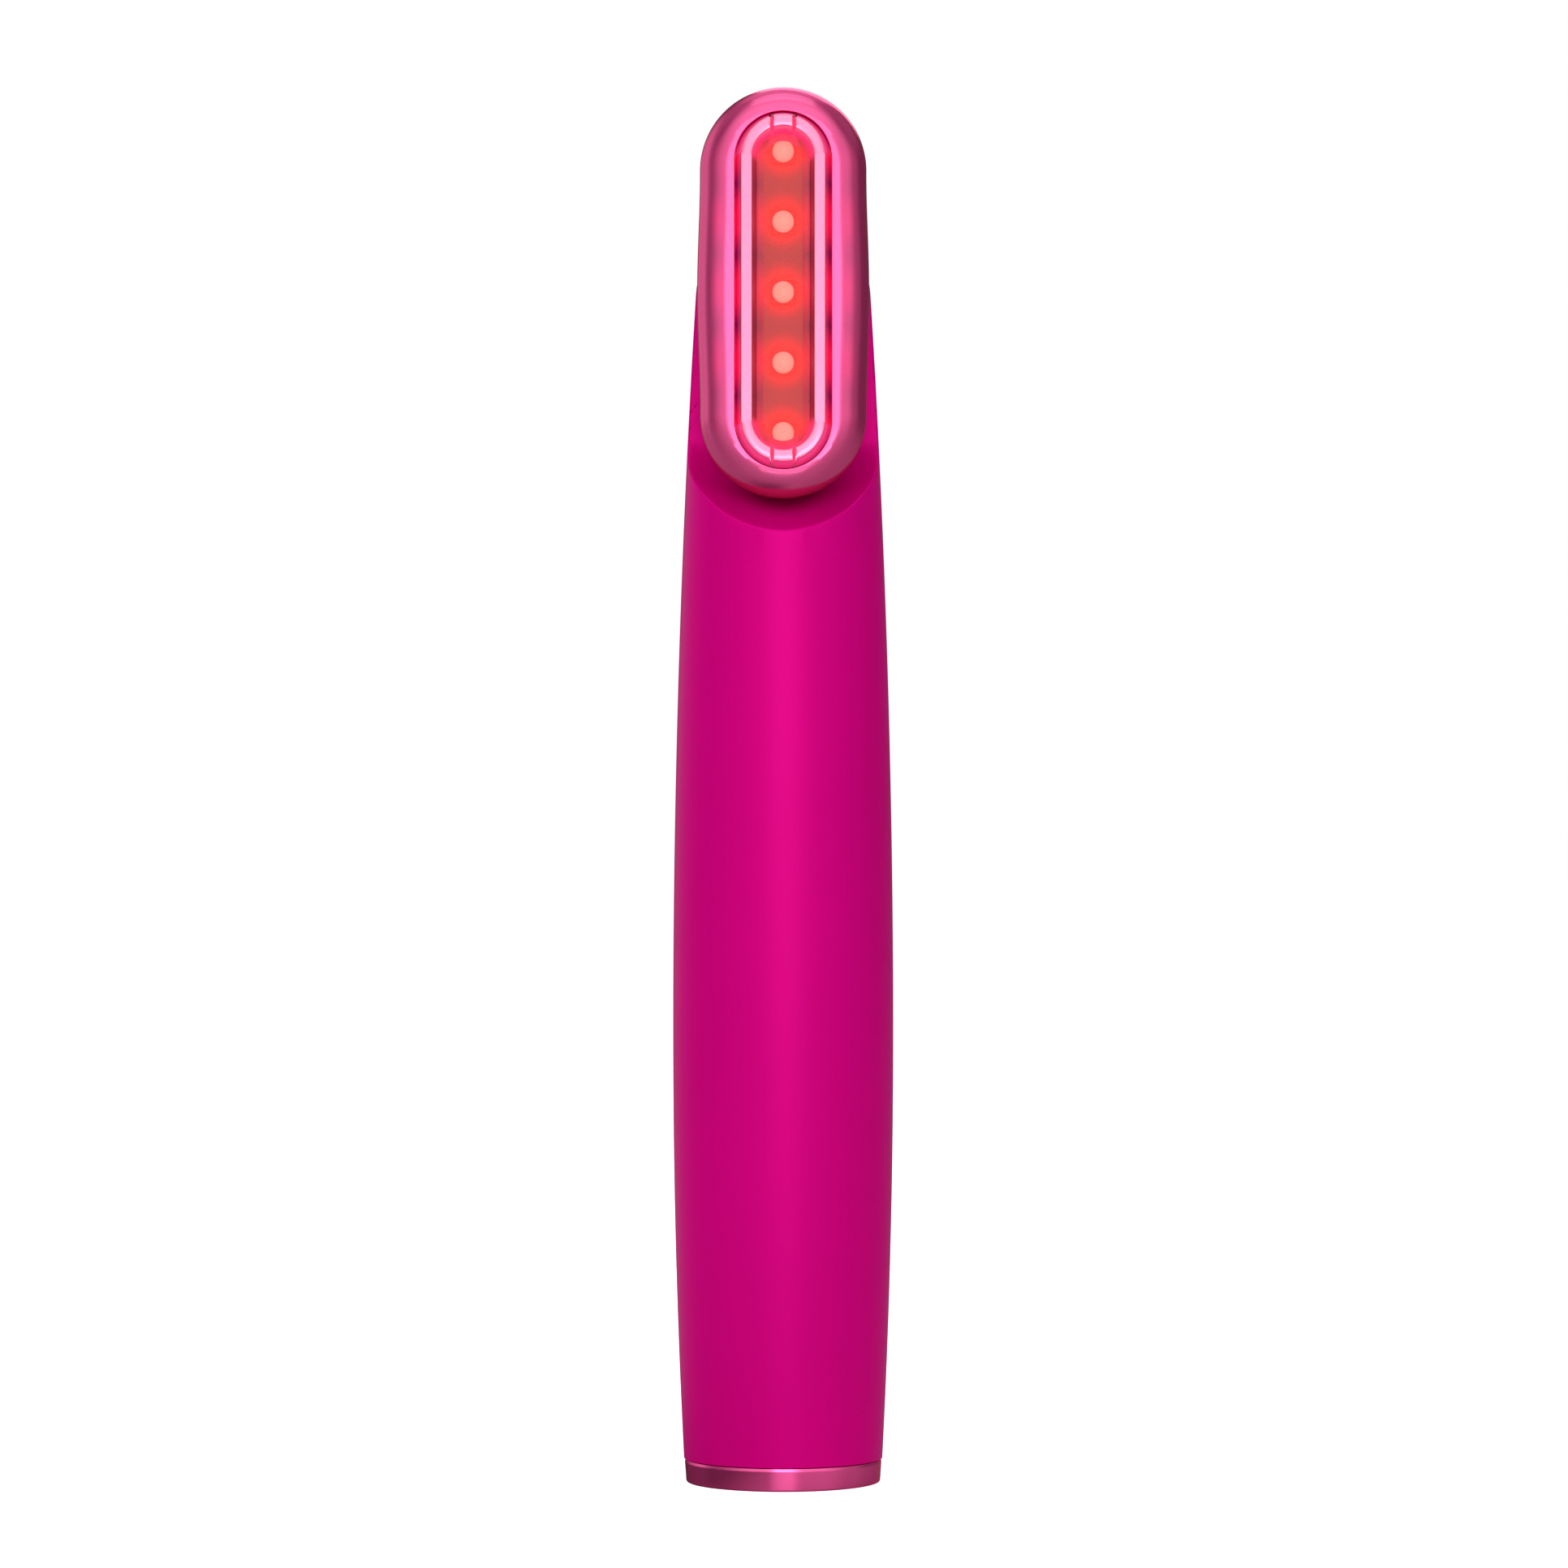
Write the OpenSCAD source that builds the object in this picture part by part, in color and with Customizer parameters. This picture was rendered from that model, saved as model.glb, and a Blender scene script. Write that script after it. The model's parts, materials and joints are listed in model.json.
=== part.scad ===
// Skin firming wand: a bowed handle with a swivelling treatment head.
// Millimetres. Z runs up the handle from its flat base, and the head faces -Y.

/* [Handle] */
// Half of the greatest width of the handle
handle_half_w = 12.55; // [12:0.01:13.5]
// Height of the widest place above the base
belly_z = 50.5; // [46:0.5:55]
// Radius of the side curve above the widest place
bow_high_r = 1380; // [1250:10:1600]
// Radius of the side curve below the widest place
bow_low_r = 920; // [800:10:1100]
// Depth of the handle as a share of its width
depth_ratio = 0.78; // [0.76:0.005:0.84]
// Wall of the two shells
shell_t = 1.4; // [1.2:0.05:1.6]
// Plane that parts the front shell from the rear shell
parting_y = 2.0; // [1.5:0.1:3]

/* [Neck and scoop] */
// Height of the swivel axis
pivot_z = 134.6; // [132:0.1:138]
// Thickness of the neck at the swivel axis
neck_t = 8.5; // [8.2:0.1:9]
// Thickness of the neck's front plate
neck_wall = 1.6; // [1.4:0.1:1.8]
// Slope of the scoop's wall in degrees
dish_slope = 56; // [52:1:62]

/* [End cap] */
// Height of the cap's visible band
cap_h = 2.6; // [2.2:0.1:3.2]
// Step of the cap inside the line of the handle
cap_inset = 0.1; // [0.05:0.05:0.2]
// Rounding of the cap's lower edge
cap_edge_r = 0.4; // [0.2:0.1:0.6]
// Floor of the cap
cap_floor_t = 1.4; // [1.2:0.1:1.8]
// Wall of the cap's collar
collar_t = 1.0; // [0.8:0.1:1.2]
// Height of the collar above the band
collar_h = 3.9; // [3.5:0.1:4.5]
// Height of the rubber ring on the collar
cap_seal_h = 1.0; // [0.8:0.1:1.2]
// Depth of the rubber ring's groove
cap_seal_t = 0.5; // [0.4:0.05:0.6]

/* [Head] */
// Length of the head
head_l = 46.1; // [45:0.1:47]
// Width of the head
head_w = 19.3; // [18.8:0.1:20]
// Depth of the head from its back to its face
head_depth = 9.8; // [9.4:0.1:10.6]
// Rounding of the front edge
head_front_r = 4.0; // [3.8:0.1:4.1]
// Rounding of the back edge
head_back_r = 4.4; // [4:0.1:4.6]
// Wall of the head's shell and cover
head_wall = 1.3; // [1.1:0.05:1.4]
// Height of the back cover
cover_h = 3.8; // [3.5:0.1:4.2]
// Gap between the neck and the head
head_gap = 0.4; // [0.36:0.02:0.6]

/* [Contact ring] */
// Distance from the end of the ring's opening to the end of the head
ring_end_margin = 3.05; // [2.6:0.05:3.6]
// Half width of the ring outside, at its top
ring_out_r = 4.7; // [4.6:0.05:4.8]
// Half width of the ring inside, at its top
ring_in_r = 3.45; // [3.3:0.05:3.6]
// Slope of each ring wall, measured across
ring_draft = 0.6; // [0.4:0.05:0.65]
// Height of the ring above the face
ring_rise = 2.3; // [2:0.1:2.8]
// Depth of the ring's foot below the face
ring_sink = 0.8; // [0.6:0.1:1]
// Slit between the ring's foot and the face
ring_slit = 0.1; // [0.06:0.02:0.16]
// Half width of the two insulating blocks
block_half_w = 1.1; // [0.9:0.05:1.4]
// Slit beside each insulating block
block_slit = 0.25; // [0.15:0.05:0.35]

/* [Lights] */
// Distance of the end lights past the ring's straight sides
led_end = 1.2; // [0.6:0.05:1.6]
// Diameter of each light
led_d = 2.4; // [2:0.1:2.8]
// Height of each light's lens
led_lens_h = 0.9; // [0.7:0.1:1.1]
// Side of each light's base
led_base = 2.8; // [2.6:0.1:3.1]
// Height of each light's base
led_base_h = 0.5; // [0.4:0.1:0.6]
// Thickness of the window
window_t = 0.8; // [0.6:0.1:0.9]
// Depth of the window below the face
window_drop = 0.2; // [0.1:0.1:0.3]
// Depth of the light board's front below the face
led_board_drop = 3.4; // [3.3:0.1:3.8]
// Thickness of the light board
led_board_t = 0.8; // [0.6:0.1:1]
// Half width of the light board
led_board_r = 5.6; // [5.2:0.1:5.8]
// Diameter of the contact pins
pin_d = 0.8; // [0.7:0.05:0.9]
// Distance of the contact pins from the middle, across
pin_x = 4.0; // [3.9:0.05:4.1]
// Distance of the contact pins from the end of the ring's straight sides
pin_end = 3.6; // [2:0.1:5]

/* [Swivel] */
// Diameter of the hollow shaft
shaft_d = 6.0; // [5.6:0.1:6.4]
// Bore of the hollow shaft
shaft_bore_d = 3.0; // [2.6:0.1:3.2]
// Flange of the shaft inside the head
shaft_flange_d = 11.0; // [10.6:0.1:11.4]
// Thickness of that flange
shaft_flange_t = 1.0; // [0.8:0.1:1.2]
// Wall of the bush
bush_wall = 1.15; // [1:0.05:1.3]
// Running clearance of the shaft in the bush, on the radius
bush_clear = 0.05; // [0.03:0.01:0.08]
// Width of the bush's flange beyond its wall
bush_flange_w = 1.0; // [0.8:0.1:1.2]
// Thickness of the bush's flange
bush_flange_t = 0.8; // [0.6:0.1:0.9]
// Thickness of the glide washer
glide_t = 0.3; // [0.2:0.02:0.32]
// Outer diameter of the glide washer
glide_d = 10.4; // [10:0.1:10.8]
// Thickness of the wave washer
wave_t = 0.4; // [0.3:0.05:0.45]
// Thickness of the stop washer
stop_t = 0.6; // [0.5:0.05:0.65]
// Thickness of the retaining clip
clip_t = 0.5; // [0.4:0.05:0.6]
// Swing of the head to each side in degrees
swing = 90; // [80:5:95]
// Half width of the stop lug in degrees
lug_half_angle = 12; // [10:1:14]
// Diameter of the small screws' shanks
small_screw_d = 1.2; // [1:0.1:1.3]

/* [Power button] */
// Height of the button above the base
button_z = 94; // [92:0.5:96]
// Width of the button
button_w = 6.6; // [6:0.1:7]
// Length of the button
button_l = 11.5; // [10.5:0.1:12.5]
// Height of the button above the rear shell
button_proud = 0.5; // [0.3:0.1:0.8]
// Clearance around the button
button_clear = 0.15; // [0.1:0.05:0.25]
// Travel of the button
button_travel = 0.4; // [0.3:0.05:0.45]
// Thickness of the button's flange
button_flange_t = 0.6; // [0.5:0.1:0.7]
// Width of the button's flange
button_flange_w = 1.0; // [0.8:0.1:1.1]
// Height of the indicator above the base
indicator_z = 81; // [80:0.5:83]
// Diameter of the indicator lens
indicator_d = 1.6; // [1.4:0.1:2]

/* [Chassis and battery] */
// Room between the cradle and the shells at the cradle's lower end
cradle_room = 0.37; // [0.3:0.01:0.6]
// Length of the cell
cell_l = 43; // [40:0.5:43.5]
// Height of the cradle's lower wall above the base
cradle_z = 15; // [14.5:0.1:15.5]
// Thickness of the cradle's end walls
cradle_end_t = 1.2; // [1:0.1:1.4]
// Wall of the cradle
cradle_t = 0.9; // [0.8:0.05:1]
// Clearance between the cell and the cradle
cell_clear = 0.1; // [0.05:0.05:0.15]
// Thickness of the foam pad
pad_t = 1.0; // [0.8:0.1:1.2]
// Room between the button's seal and the inside of the rear shell, along the middle line
button_room = 0.75; // [0.7:0.05:1]
// Thickness of the spine plate
spine_t = 1.2; // [1.1:0.05:1.3]
// Room between the spine plate's edges and the shells
spine_room = 0.23; // [0.2:0.01:0.5]
// Top of the spine plate above the base
spine_top = 100; // [99:0.5:101]
// Distance of the chassis screws from the spine plate's edges
ear_edge = 1.6; // [1.5:0.05:2]
// Height of the lower chassis screws above the cradle
ear_low_rise = 5; // [4.5:0.5:7]
// Distance of the upper chassis screws below the top of the spine plate
ear_high_drop = 3.5; // [3:0.5:5]
// Diameter of the bosses in the front shell
boss_d = 3.4; // [3.2:0.1:3.6]
// Shank of the chassis screws
screw_d = 1.6; // [1.5:0.05:1.8]
// Length of the chassis screws under the head
screw_l = 4.6; // [4:0.1:5]

/* [Boards] */
// Half width of the main board
board_half_w = 6.2; // [6:0.05:6.3]
// Thickness of the main board
board_t = 1.0; // [0.8:0.05:1.1]
// Height of the main board's lower edge above the cradle
board_rise = 2.0; // [1.8:0.1:3]
// Upper edge of the main board
board_high_z = 106; // [105:0.5:106.5]
// Height of the standoffs under the main board
standoff_h = 1.2; // [1.1:0.05:1.3]
// Height of the switch body
switch_h = 1.4; // [1.2:0.05:1.5]
// Side of the switch body
switch_w = 4.5; // [4:0.1:5]
// Diameter of the switch plunger
plunger_d = 2.0; // [1.6:0.1:2.2]
// Thickness of the charging board
port_board_t = 0.8; // [0.6:0.1:1]

/* [Charging socket] */
// Width of the socket's metal shell
port_w = 8.94; // [8.8:0.02:9]
// Height of the socket's metal shell
port_h = 3.26; // [3.2:0.02:3.3]
// Length of the socket
port_l = 7.3; // [7:0.1:7.8]
// Wall of the socket's metal shell
port_wall = 0.3; // [0.25:0.05:0.35]
// Depth of the socket's mouth inside the cap
port_recess = 0.4; // [0.2:0.1:0.6]
// Clearance around the socket in the cap
port_clear = 0.15; // [0.1:0.05:0.25]

/* [Motor] */
// Room between the motor's boot and the front shell
motor_room = 1.15; // [0.8:0.05:1.5]
// Length of the motor can
motor_l = 13; // [12:0.5:13.5]
// Height of the motor can's lower end above the cradle
motor_rise = 11; // [10:0.5:12]
// Wall of the rubber boot
boot_t = 0.5; // [0.4:0.05:0.6]
// Diameter of the motor shaft
rotor_d = 1.0; // [0.8:0.1:1.2]
// Radius of the eccentric weight
weight_r = 2.8; // [2.5:0.1:3]
// Length of the eccentric weight
weight_l = 4.5; // [4:0.1:5]

/* [Hidden] */

// Segments of round shapes
$fn = 64;
round_fn = 128;
// Straight steps of each side curve, and of the neck's round top
bow_steps = 5;
dome_steps = 6;
// A length that reaches past any wall, and one that reaches out of the scoop
far = 60;
dish_reach = 16;
// Overlap that joins two shapes of one solid
weld = 0.2;

// The side curve ends where it meets the neck's round top, which is centred on the swivel axis
bow_high_x = handle_half_w - bow_high_r;
bow_low_x = handle_half_w - bow_low_r;
dome_r = bow_high_r - norm([bow_high_x, pivot_z - belly_z]);
dome_low_a = atan((pivot_z - belly_z) / -bow_high_x);
inner_ratio = (depth_ratio * handle_half_w - shell_t) / (handle_half_w - shell_t);
function side_w(r, z) = handle_half_w - r + sqrt(r * r - (z - belly_z) * (z - belly_z));
function half_w(z) = side_w(z > belly_z ? bow_high_r : bow_low_r, z);
function half_d(z) = depth_ratio * half_w(z);
function inner_d(z) = inner_ratio * (half_w(z) - shell_t);
neck_y = half_d(pivot_z) - neck_t;

// Cap and charging socket
collar_top = cap_h + collar_h;
collar_clear = 0.08;
cap_gap = 0.12;
port_x_r = port_h / 2;
port_board_y = port_h / 2;

// Levels in the head, measured out of the neck's front plane
head_r = head_w / 2;
head_half_l = head_l / 2 - head_r;
face_v = head_gap + head_depth;
cover_top = head_gap + cover_h;
ring_top = face_v + ring_rise;
ring_foot = face_v - ring_sink;
opening_r = ring_out_r + ring_draft + ring_slit;
ring_half_l = head_l / 2 - ring_end_margin - opening_r;
led_pitch = (ring_half_l + led_end) / 2;
pin_v = ring_half_l - pin_end;
led_board_top = face_v - led_board_drop;
window_top = face_v - window_drop;
window_low = window_top - window_t;
window_r = ring_in_r - ring_draft - 0.05;
carrier_flange_top = face_v - head_wall;
carrier_flange_t = 1.2;
carrier_r = ring_out_r + ring_draft;
carrier_flange_r = carrier_r + 1.1;
carrier_fit = 0.05;
window_ledge_w = 0.6;
window_ledge_t = 0.6;
led_room_r = norm([led_base / 2, 2 * led_pitch + led_base / 2 - ring_half_l]) + 0.2;

// Swivel levels, measured into the neck
bush_r = shaft_d / 2 + bush_clear + bush_wall;
bush_flange_r = bush_r + bush_flange_w;
bush_back = neck_wall + bush_flange_t;
wave_back = bush_back + wave_t;
stop_front = wave_back + 0.05;
stop_back = stop_front + stop_t;
clip_back = stop_back + clip_t;
shaft_back = clip_back + 0.4;
clip_groove = 0.5;
clip_w = 1.5;
clip_mouth = 3;
washer_clear = 0.2;
lug_r = bush_flange_r + 1.9;
stop_rib_r = bush_flange_r + 0.4;
stop_rib_w = 1.5;
shaft_seat = head_gap + head_wall + 0.9;
shaft_screw_r = (shaft_d + shaft_flange_d) / 4;
shaft_screw_head_d = 1.8;
shaft_screw_head_h = 0.6;
shaft_screw_bite = 1.2;

// The cradle fills the shells' depth, and its wall holds the cell
cradle_r = inner_d(cradle_z) - cradle_room;
cell_d = 2 * (cradle_r - cradle_t - cell_clear);
cell_edge_r = 0.4;
cell_end_room = 0.6;
board_play = 0.1;
rail_x = cradle_r - cradle_t;
port_board_half_w = rail_x - board_play;
cell_z = cradle_z + cradle_end_t + pad_t;
cell_top = cell_z + cell_l;
cradle_top = cell_top + cell_end_room + cradle_end_t;

// Spine, board, switch and button stand behind each other up to the rear shell, along Y
plunger_rise = 0.5;
button_seal_t = 0.2;
button_seal_w = 0.7;
button_seal_gap = 0.02;
button_stack = spine_t + standoff_h + board_t + switch_h + plunger_rise + button_flange_t
    + button_seal_gap + button_seal_t;
spine_y = inner_d(button_z) - button_room - button_stack;
spine_back = spine_y + spine_t;
board_y = spine_back + standoff_h;
board_back = board_y + board_t;
switch_top = board_back + switch_h;
plunger_top = switch_top + plunger_rise;
button_flange_top = plunger_top + button_flange_t;
button_y = half_d(button_z) + button_proud;

// Places on the spine and the board
spine_half_w = (half_w(spine_top) - shell_t) * sqrt(1 - pow(spine_back / inner_d(spine_top), 2))
    - spine_room;
ear_x = spine_half_w - ear_edge;
ear_low_z = cradle_top + ear_low_rise;
ear_high_z = spine_top - ear_high_drop;
board_low_z = cradle_top + board_rise;
board_screw_x = board_half_w - 1.6;
board_screw_z = [board_low_z + 4, board_high_z - 7.5];
board_screw_head_d = 2.2;
board_screw_head_h = 0.7;
screw_head_d = 3;
screw_head_h = 0.9;

// The motor hangs in front of the spine
motor_z = cradle_top + motor_rise;
motor_gap = 0.5;
rotor_z = motor_z + motor_l;
motor_d = spine_y - motor_gap + inner_d(rotor_z) - motor_room - 2 * boot_t;
boot_r = motor_d / 2 + boot_t;
motor_y = spine_y - motor_gap - boot_r;
saddle_l = motor_l - 3;
rotor_gap = 1;
rotor_in = 2.5;
rotor_l = rotor_gap + weight_l + 1;

// Wires
harness_r = 0.7;
harness_bend = 1.4;
harness_gap = 0.3;
harness_back = shaft_back + harness_gap + harness_bend;
harness_end_v = -30;
socket_w = 6;
socket_h = 4.5;
socket_t = 1.8;
socket_edge = 0.5;
lead_r = 0.6;

module head_frame() {
    translate([0, neck_y, pivot_z]) rotate([90, 0, 0]) children();
}

// Half outline of the handle, drawn with its axis on the Y axis of the sketch
module handle_outline(inset, low) {
    low_r = bow_low_r - inset;
    high_r = bow_high_r - inset;
    top_r = dome_r - inset;
    low_a = asin((low - belly_z) / low_r);
    polygon(concat(
        [[0, low]],
        [for (i = [0 : bow_steps]) let (a = low_a * (1 - i / bow_steps))
            [bow_low_x + low_r * cos(a), belly_z + low_r * sin(a)]],
        [for (i = [1 : 2 * bow_steps]) let (a = dome_low_a * i / (2 * bow_steps))
            [bow_high_x + high_r * cos(a), belly_z + high_r * sin(a)]],
        [for (i = [1 : dome_steps - 1]) let (a = dome_low_a + (90 - dome_low_a) * i / dome_steps)
            [top_r * cos(a), pivot_z + top_r * sin(a)]],
        [[0, pivot_z + top_r]]));
}

// Four quarter turns of an outline, squeezed to an oval
module oval_turn(ratio) {
    for (s = [0, 1]) mirror([s, 0, 0]) for (u = [0, 1]) mirror([0, u, 0])
        scale([1, ratio, 1]) rotate_extrude(angle = 90, $fn = round_fn) children();
}

module handle_solid(inset, ratio, low) {
    oval_turn(ratio) handle_outline(inset, low);
}

// Profile of the scoop's cutter: it keeps the head's gap from the back edge of the turning head
module dish_profile(grow) {
    r = head_gap + head_back_r + grow;
    middle = [head_l / 2 - head_back_r, head_gap + head_back_r];
    edge = middle + r * [sin(dish_slope), -cos(dish_slope)];
    brim = edge + dish_reach * [cos(dish_slope), sin(dish_slope)];
    polygon([[0, -grow], [middle[0], -grow], edge, brim, [0, brim[1]]]);
    translate(middle) circle(r = r);
}

module dish_cutter(grow) {
    head_frame() rotate_extrude($fn = 180) dish_profile(grow);
}

module stadium(r, half_l) {
    translate([0, half_l]) circle(r = r);
    translate([0, -half_l]) circle(r = r);
    translate([-r, -half_l]) square([2 * r, 2 * half_l]);
}

module stadium_block(r, half_l, low, high) {
    translate([0, 0, low]) linear_extrude(high - low) stadium(r, half_l);
}

module ring(out_r, in_r, low, high) {
    translate([0, 0, low]) linear_extrude(high - low) difference() {
        circle(r = out_r);
        circle(r = in_r);
    }
}

// Shells

module front_half() {
    translate([-far / 2, -far, -1]) cube([far, far + parting_y, 4 * far]);
}

shell_low = cap_h + cap_gap;

module cavity() {
    difference() {
        handle_solid(shell_t, inner_ratio, -1);
        dish_cutter(neck_wall);
    }
}

module boss(x, z) {
    translate([x, spine_y, z]) rotate([90, 0, 0]) cylinder(d = boss_d, h = far / 2);
}

module stop_rib() {
    rib_angle = lug_half_angle + 1 + (swing - 90);
    intersection() {
        head_frame() ring(stop_rib_r + stop_rib_w, stop_rib_r, -stop_back - 0.1, -neck_wall + weld);
        head_frame() for (side = [0, 1]) mirror([side, 0, 0])
            translate([0, 0, -far / 2]) linear_extrude(far)
                polygon([[0, 0], far * [cos(rib_angle), sin(rib_angle)], [far, far], [0, far]]);
    }
}

module front_shell() {
    color("mediumvioletred") difference() {
        intersection() {
            handle_solid(0, depth_ratio, shell_low);
            front_half();
        }
        difference() {
            cavity();
            for (x = [-ear_x, ear_x]) for (z = [ear_low_z, ear_high_z]) boss(x, z);
            stop_rib();
        }
        dish_cutter(0);
        head_frame() translate([0, 0, -far / 2]) cylinder(r = bush_r, h = far);
        for (x = [-ear_x, ear_x]) for (z = [ear_low_z, ear_high_z])
            translate([x, spine_y + weld, z]) rotate([90, 0, 0])
                cylinder(d = screw_d, h = screw_l - spine_t + 2 * weld);
    }
}

module button_outline(grow) {
    stadium(button_w / 2 + grow, (button_l - button_w) / 2);
}

module along_y(low, high) {
    translate([0, high, 0]) rotate([90, 0, 0]) linear_extrude(high - low) children();
}

module rear_shell() {
    color("mediumvioletred") difference() {
        handle_solid(0, depth_ratio, shell_low);
        cavity();
        dish_cutter(0);
        front_half();
        translate([0, 0, button_z]) along_y(parting_y + 1, far) button_outline(button_clear);
        translate([0, 0, indicator_z]) along_y(parting_y + 1, far) circle(d = indicator_d);
    }
}

// End cap and charging socket

module cap_outline() {
    low_w = half_w(0) - cap_inset;
    top_w = half_w(cap_h) - cap_inset;
    polygon([[0, 0], [low_w - cap_edge_r, 0], [low_w - 0.3 * cap_edge_r, 0.3 * cap_edge_r],
             [low_w, cap_edge_r], [top_w, cap_h], [0, cap_h]]);
}

module collar_solid(inset, low, high) {
    intersection() {
        handle_solid(shell_t + collar_clear + inset, inner_ratio, low);
        translate([-far / 2, -far / 2, low]) cube([far, far, high - low]);
    }
}

module port_outline(grow) {
    half = port_w / 2 - port_x_r;
    for (x = [-half, half]) translate([x, 0]) circle(r = port_x_r + grow);
    translate([-half, -port_x_r - grow]) square([2 * half, 2 * (port_x_r + grow)]);
}

seal_low = cap_h + 1.3;
seal_r = half_w(seal_low) - shell_t - collar_clear / 2;

// The rubber ring is an oval band, let into a groove of the collar
module seal_band(out_r, in_r) {
    translate([0, 0, seal_low]) scale([1, inner_ratio, 1]) difference() {
        cylinder(r = out_r, h = cap_seal_h, $fn = round_fn);
        translate([0, 0, -1]) cylinder(r = in_r, h = cap_seal_h + 2, $fn = round_fn);
    }
}

module end_cap() {
    color("palevioletred") difference() {
        union() {
            oval_turn(depth_ratio) cap_outline();
            collar_solid(0, cap_h - weld, collar_top);
        }
        collar_solid(collar_t, cap_floor_t, collar_top + 1);
        translate([0, 0, -1]) linear_extrude(cap_floor_t + 2) port_outline(port_clear);
        seal_band(seal_r + 1, seal_r - cap_seal_t);
    }
}

module cap_seal() {
    color("dimgray") seal_band(seal_r, seal_r - cap_seal_t);
}

module port_shell() {
    color("silver") difference() {
        translate([0, 0, port_recess]) linear_extrude(port_l) port_outline(0);
        translate([0, 0, port_recess - 1]) linear_extrude(port_l + 0.2) port_outline(-port_wall);
    }
}

module port_tongue() {
    tongue_w = port_w - 2.3;
    color("black") translate([-tongue_w / 2, -0.35, port_recess + 0.8])
        cube([tongue_w, 0.7, port_l - 1.6]);
}

port_board_low = cap_floor_t + 1.2;

module port_board() {
    color("darkgreen") translate([-port_board_half_w, port_board_y, port_board_low])
        cube([2 * port_board_half_w, port_board_t, cradle_z - port_board_low]);
}

// Chassis, cell and boards

module board_screw_places() {
    for (i = [0, 1]) translate([(2 * i - 1) * board_screw_x, 0, board_screw_z[i]]) children();
}

// Rails beside the charging board, and the slot of the cell's tabs
rail_y = -1;
rail_t = 1.4;
rail_w = 3;
standoff_d = 2.8;
tab_w = 2;
tab_t = 0.2;
tab_x = [-2.9, 0.9];
tab_slot_w = 7;

module chassis() {
    color("gainsboro") difference() {
        union() {
            intersection() {
                translate([0, 0, cradle_z]) cylinder(r = cradle_r, h = cradle_top - cradle_z);
                translate([-far / 2, rail_y, 0]) cube([far, far, 4 * far]);
            }
            translate([-spine_half_w, spine_y, cradle_top - cradle_end_t])
                cube([2 * spine_half_w, spine_t, spine_top - cradle_top + cradle_end_t]);
            board_screw_places() translate([0, board_y, 0]) rotate([90, 0, 0])
                cylinder(d = standoff_d, h = standoff_h + weld);
            translate([-boot_r, motor_y, motor_z + (motor_l - saddle_l) / 2])
                cube([2 * boot_r, spine_y + weld - motor_y, saddle_l]);
            for (side = [0, 1]) mirror([side, 0, 0])
                translate([rail_x, rail_y, collar_top])
                    cube([rail_t, rail_w, cradle_z + 3 - collar_top]);
        }
        translate([0, 0, cradle_z + cradle_end_t])
            cylinder(r = cell_d / 2 + cell_clear, h = cradle_top - cradle_z - 2 * cradle_end_t);
        translate([0, motor_y, motor_z - 1]) cylinder(r = boot_r, h = motor_l + 2);
        translate([-tab_slot_w / 2, board_y - 1, cradle_top - cradle_end_t - 1])
            cube([tab_slot_w, far, cradle_end_t + 2]);
        for (x = [-ear_x, ear_x]) for (z = [ear_low_z, ear_high_z])
            translate([x, 0, z]) rotate([-90, 0, 0]) cylinder(d = screw_d, h = far);
        board_screw_places() rotate([-90, 0, 0]) cylinder(d = small_screw_d, h = far);
    }
}

module pan_screw(d, l, head_d, head_h) {
    translate([0, 0, -l]) cylinder(d = d, h = l);
    difference() {
        cylinder(d = head_d, h = head_h);
        for (a = [0, 90]) rotate(a) translate([-head_d / 3, -head_d / 12, head_h * 0.45])
            cube([head_d * 2 / 3, head_d / 6, head_h]);
    }
}

module chassis_screws() {
    color("silver") for (x = [-ear_x, ear_x]) for (z = [ear_low_z, ear_high_z])
        translate([x, spine_back, z]) rotate([-90, 0, 0])
            pan_screw(screw_d, screw_l, screw_head_d, screw_head_h);
}

module battery_cell() {
    color("steelblue") translate([0, 0, cell_z]) rotate_extrude() union() {
        square([cell_d / 2 - cell_edge_r, cell_l]);
        translate([0, cell_edge_r]) square([cell_d / 2, cell_l - 2 * cell_edge_r]);
        for (y = [cell_edge_r, cell_l - cell_edge_r]) translate([cell_d / 2 - cell_edge_r, y])
            circle(r = cell_edge_r, $fn = 32);
    }
}

module battery_pad() {
    color("darkslategray") translate([0, 0, cell_z - pad_t]) cylinder(d = cell_d - 1, h = pad_t);
}

module battery_tabs() {
    color("silver") for (x = tab_x) translate([x, 0, cell_top]) {
        cube([tab_w, board_y, tab_t]);
        translate([0, board_y - tab_t, 0]) cube([tab_w, tab_t, board_low_z + tab_w - cell_top]);
    }
}

module main_board() {
    color("darkgreen") difference() {
        translate([-board_half_w, board_y, board_low_z])
            cube([2 * board_half_w, board_t, board_high_z - board_low_z]);
        board_screw_places() rotate([-90, 0, 0]) cylinder(d = small_screw_d + 0.1, h = far);
    }
}

// Controller below the indicator, two small chips above it, and the coil at the board's top edge
chip_w = 6;
chip_h = 0.9;
chip_z = indicator_z - indicator_d / 2 - 1.7 - chip_w;
small_chip_w = 3;
small_chip_z = indicator_z + 3;
coil_d = 4.4;
coil_h = 2;
part_edge = 0.8;

module board_part(x, z, size) {
    translate([x, board_back, z]) cube(size);
}

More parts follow.
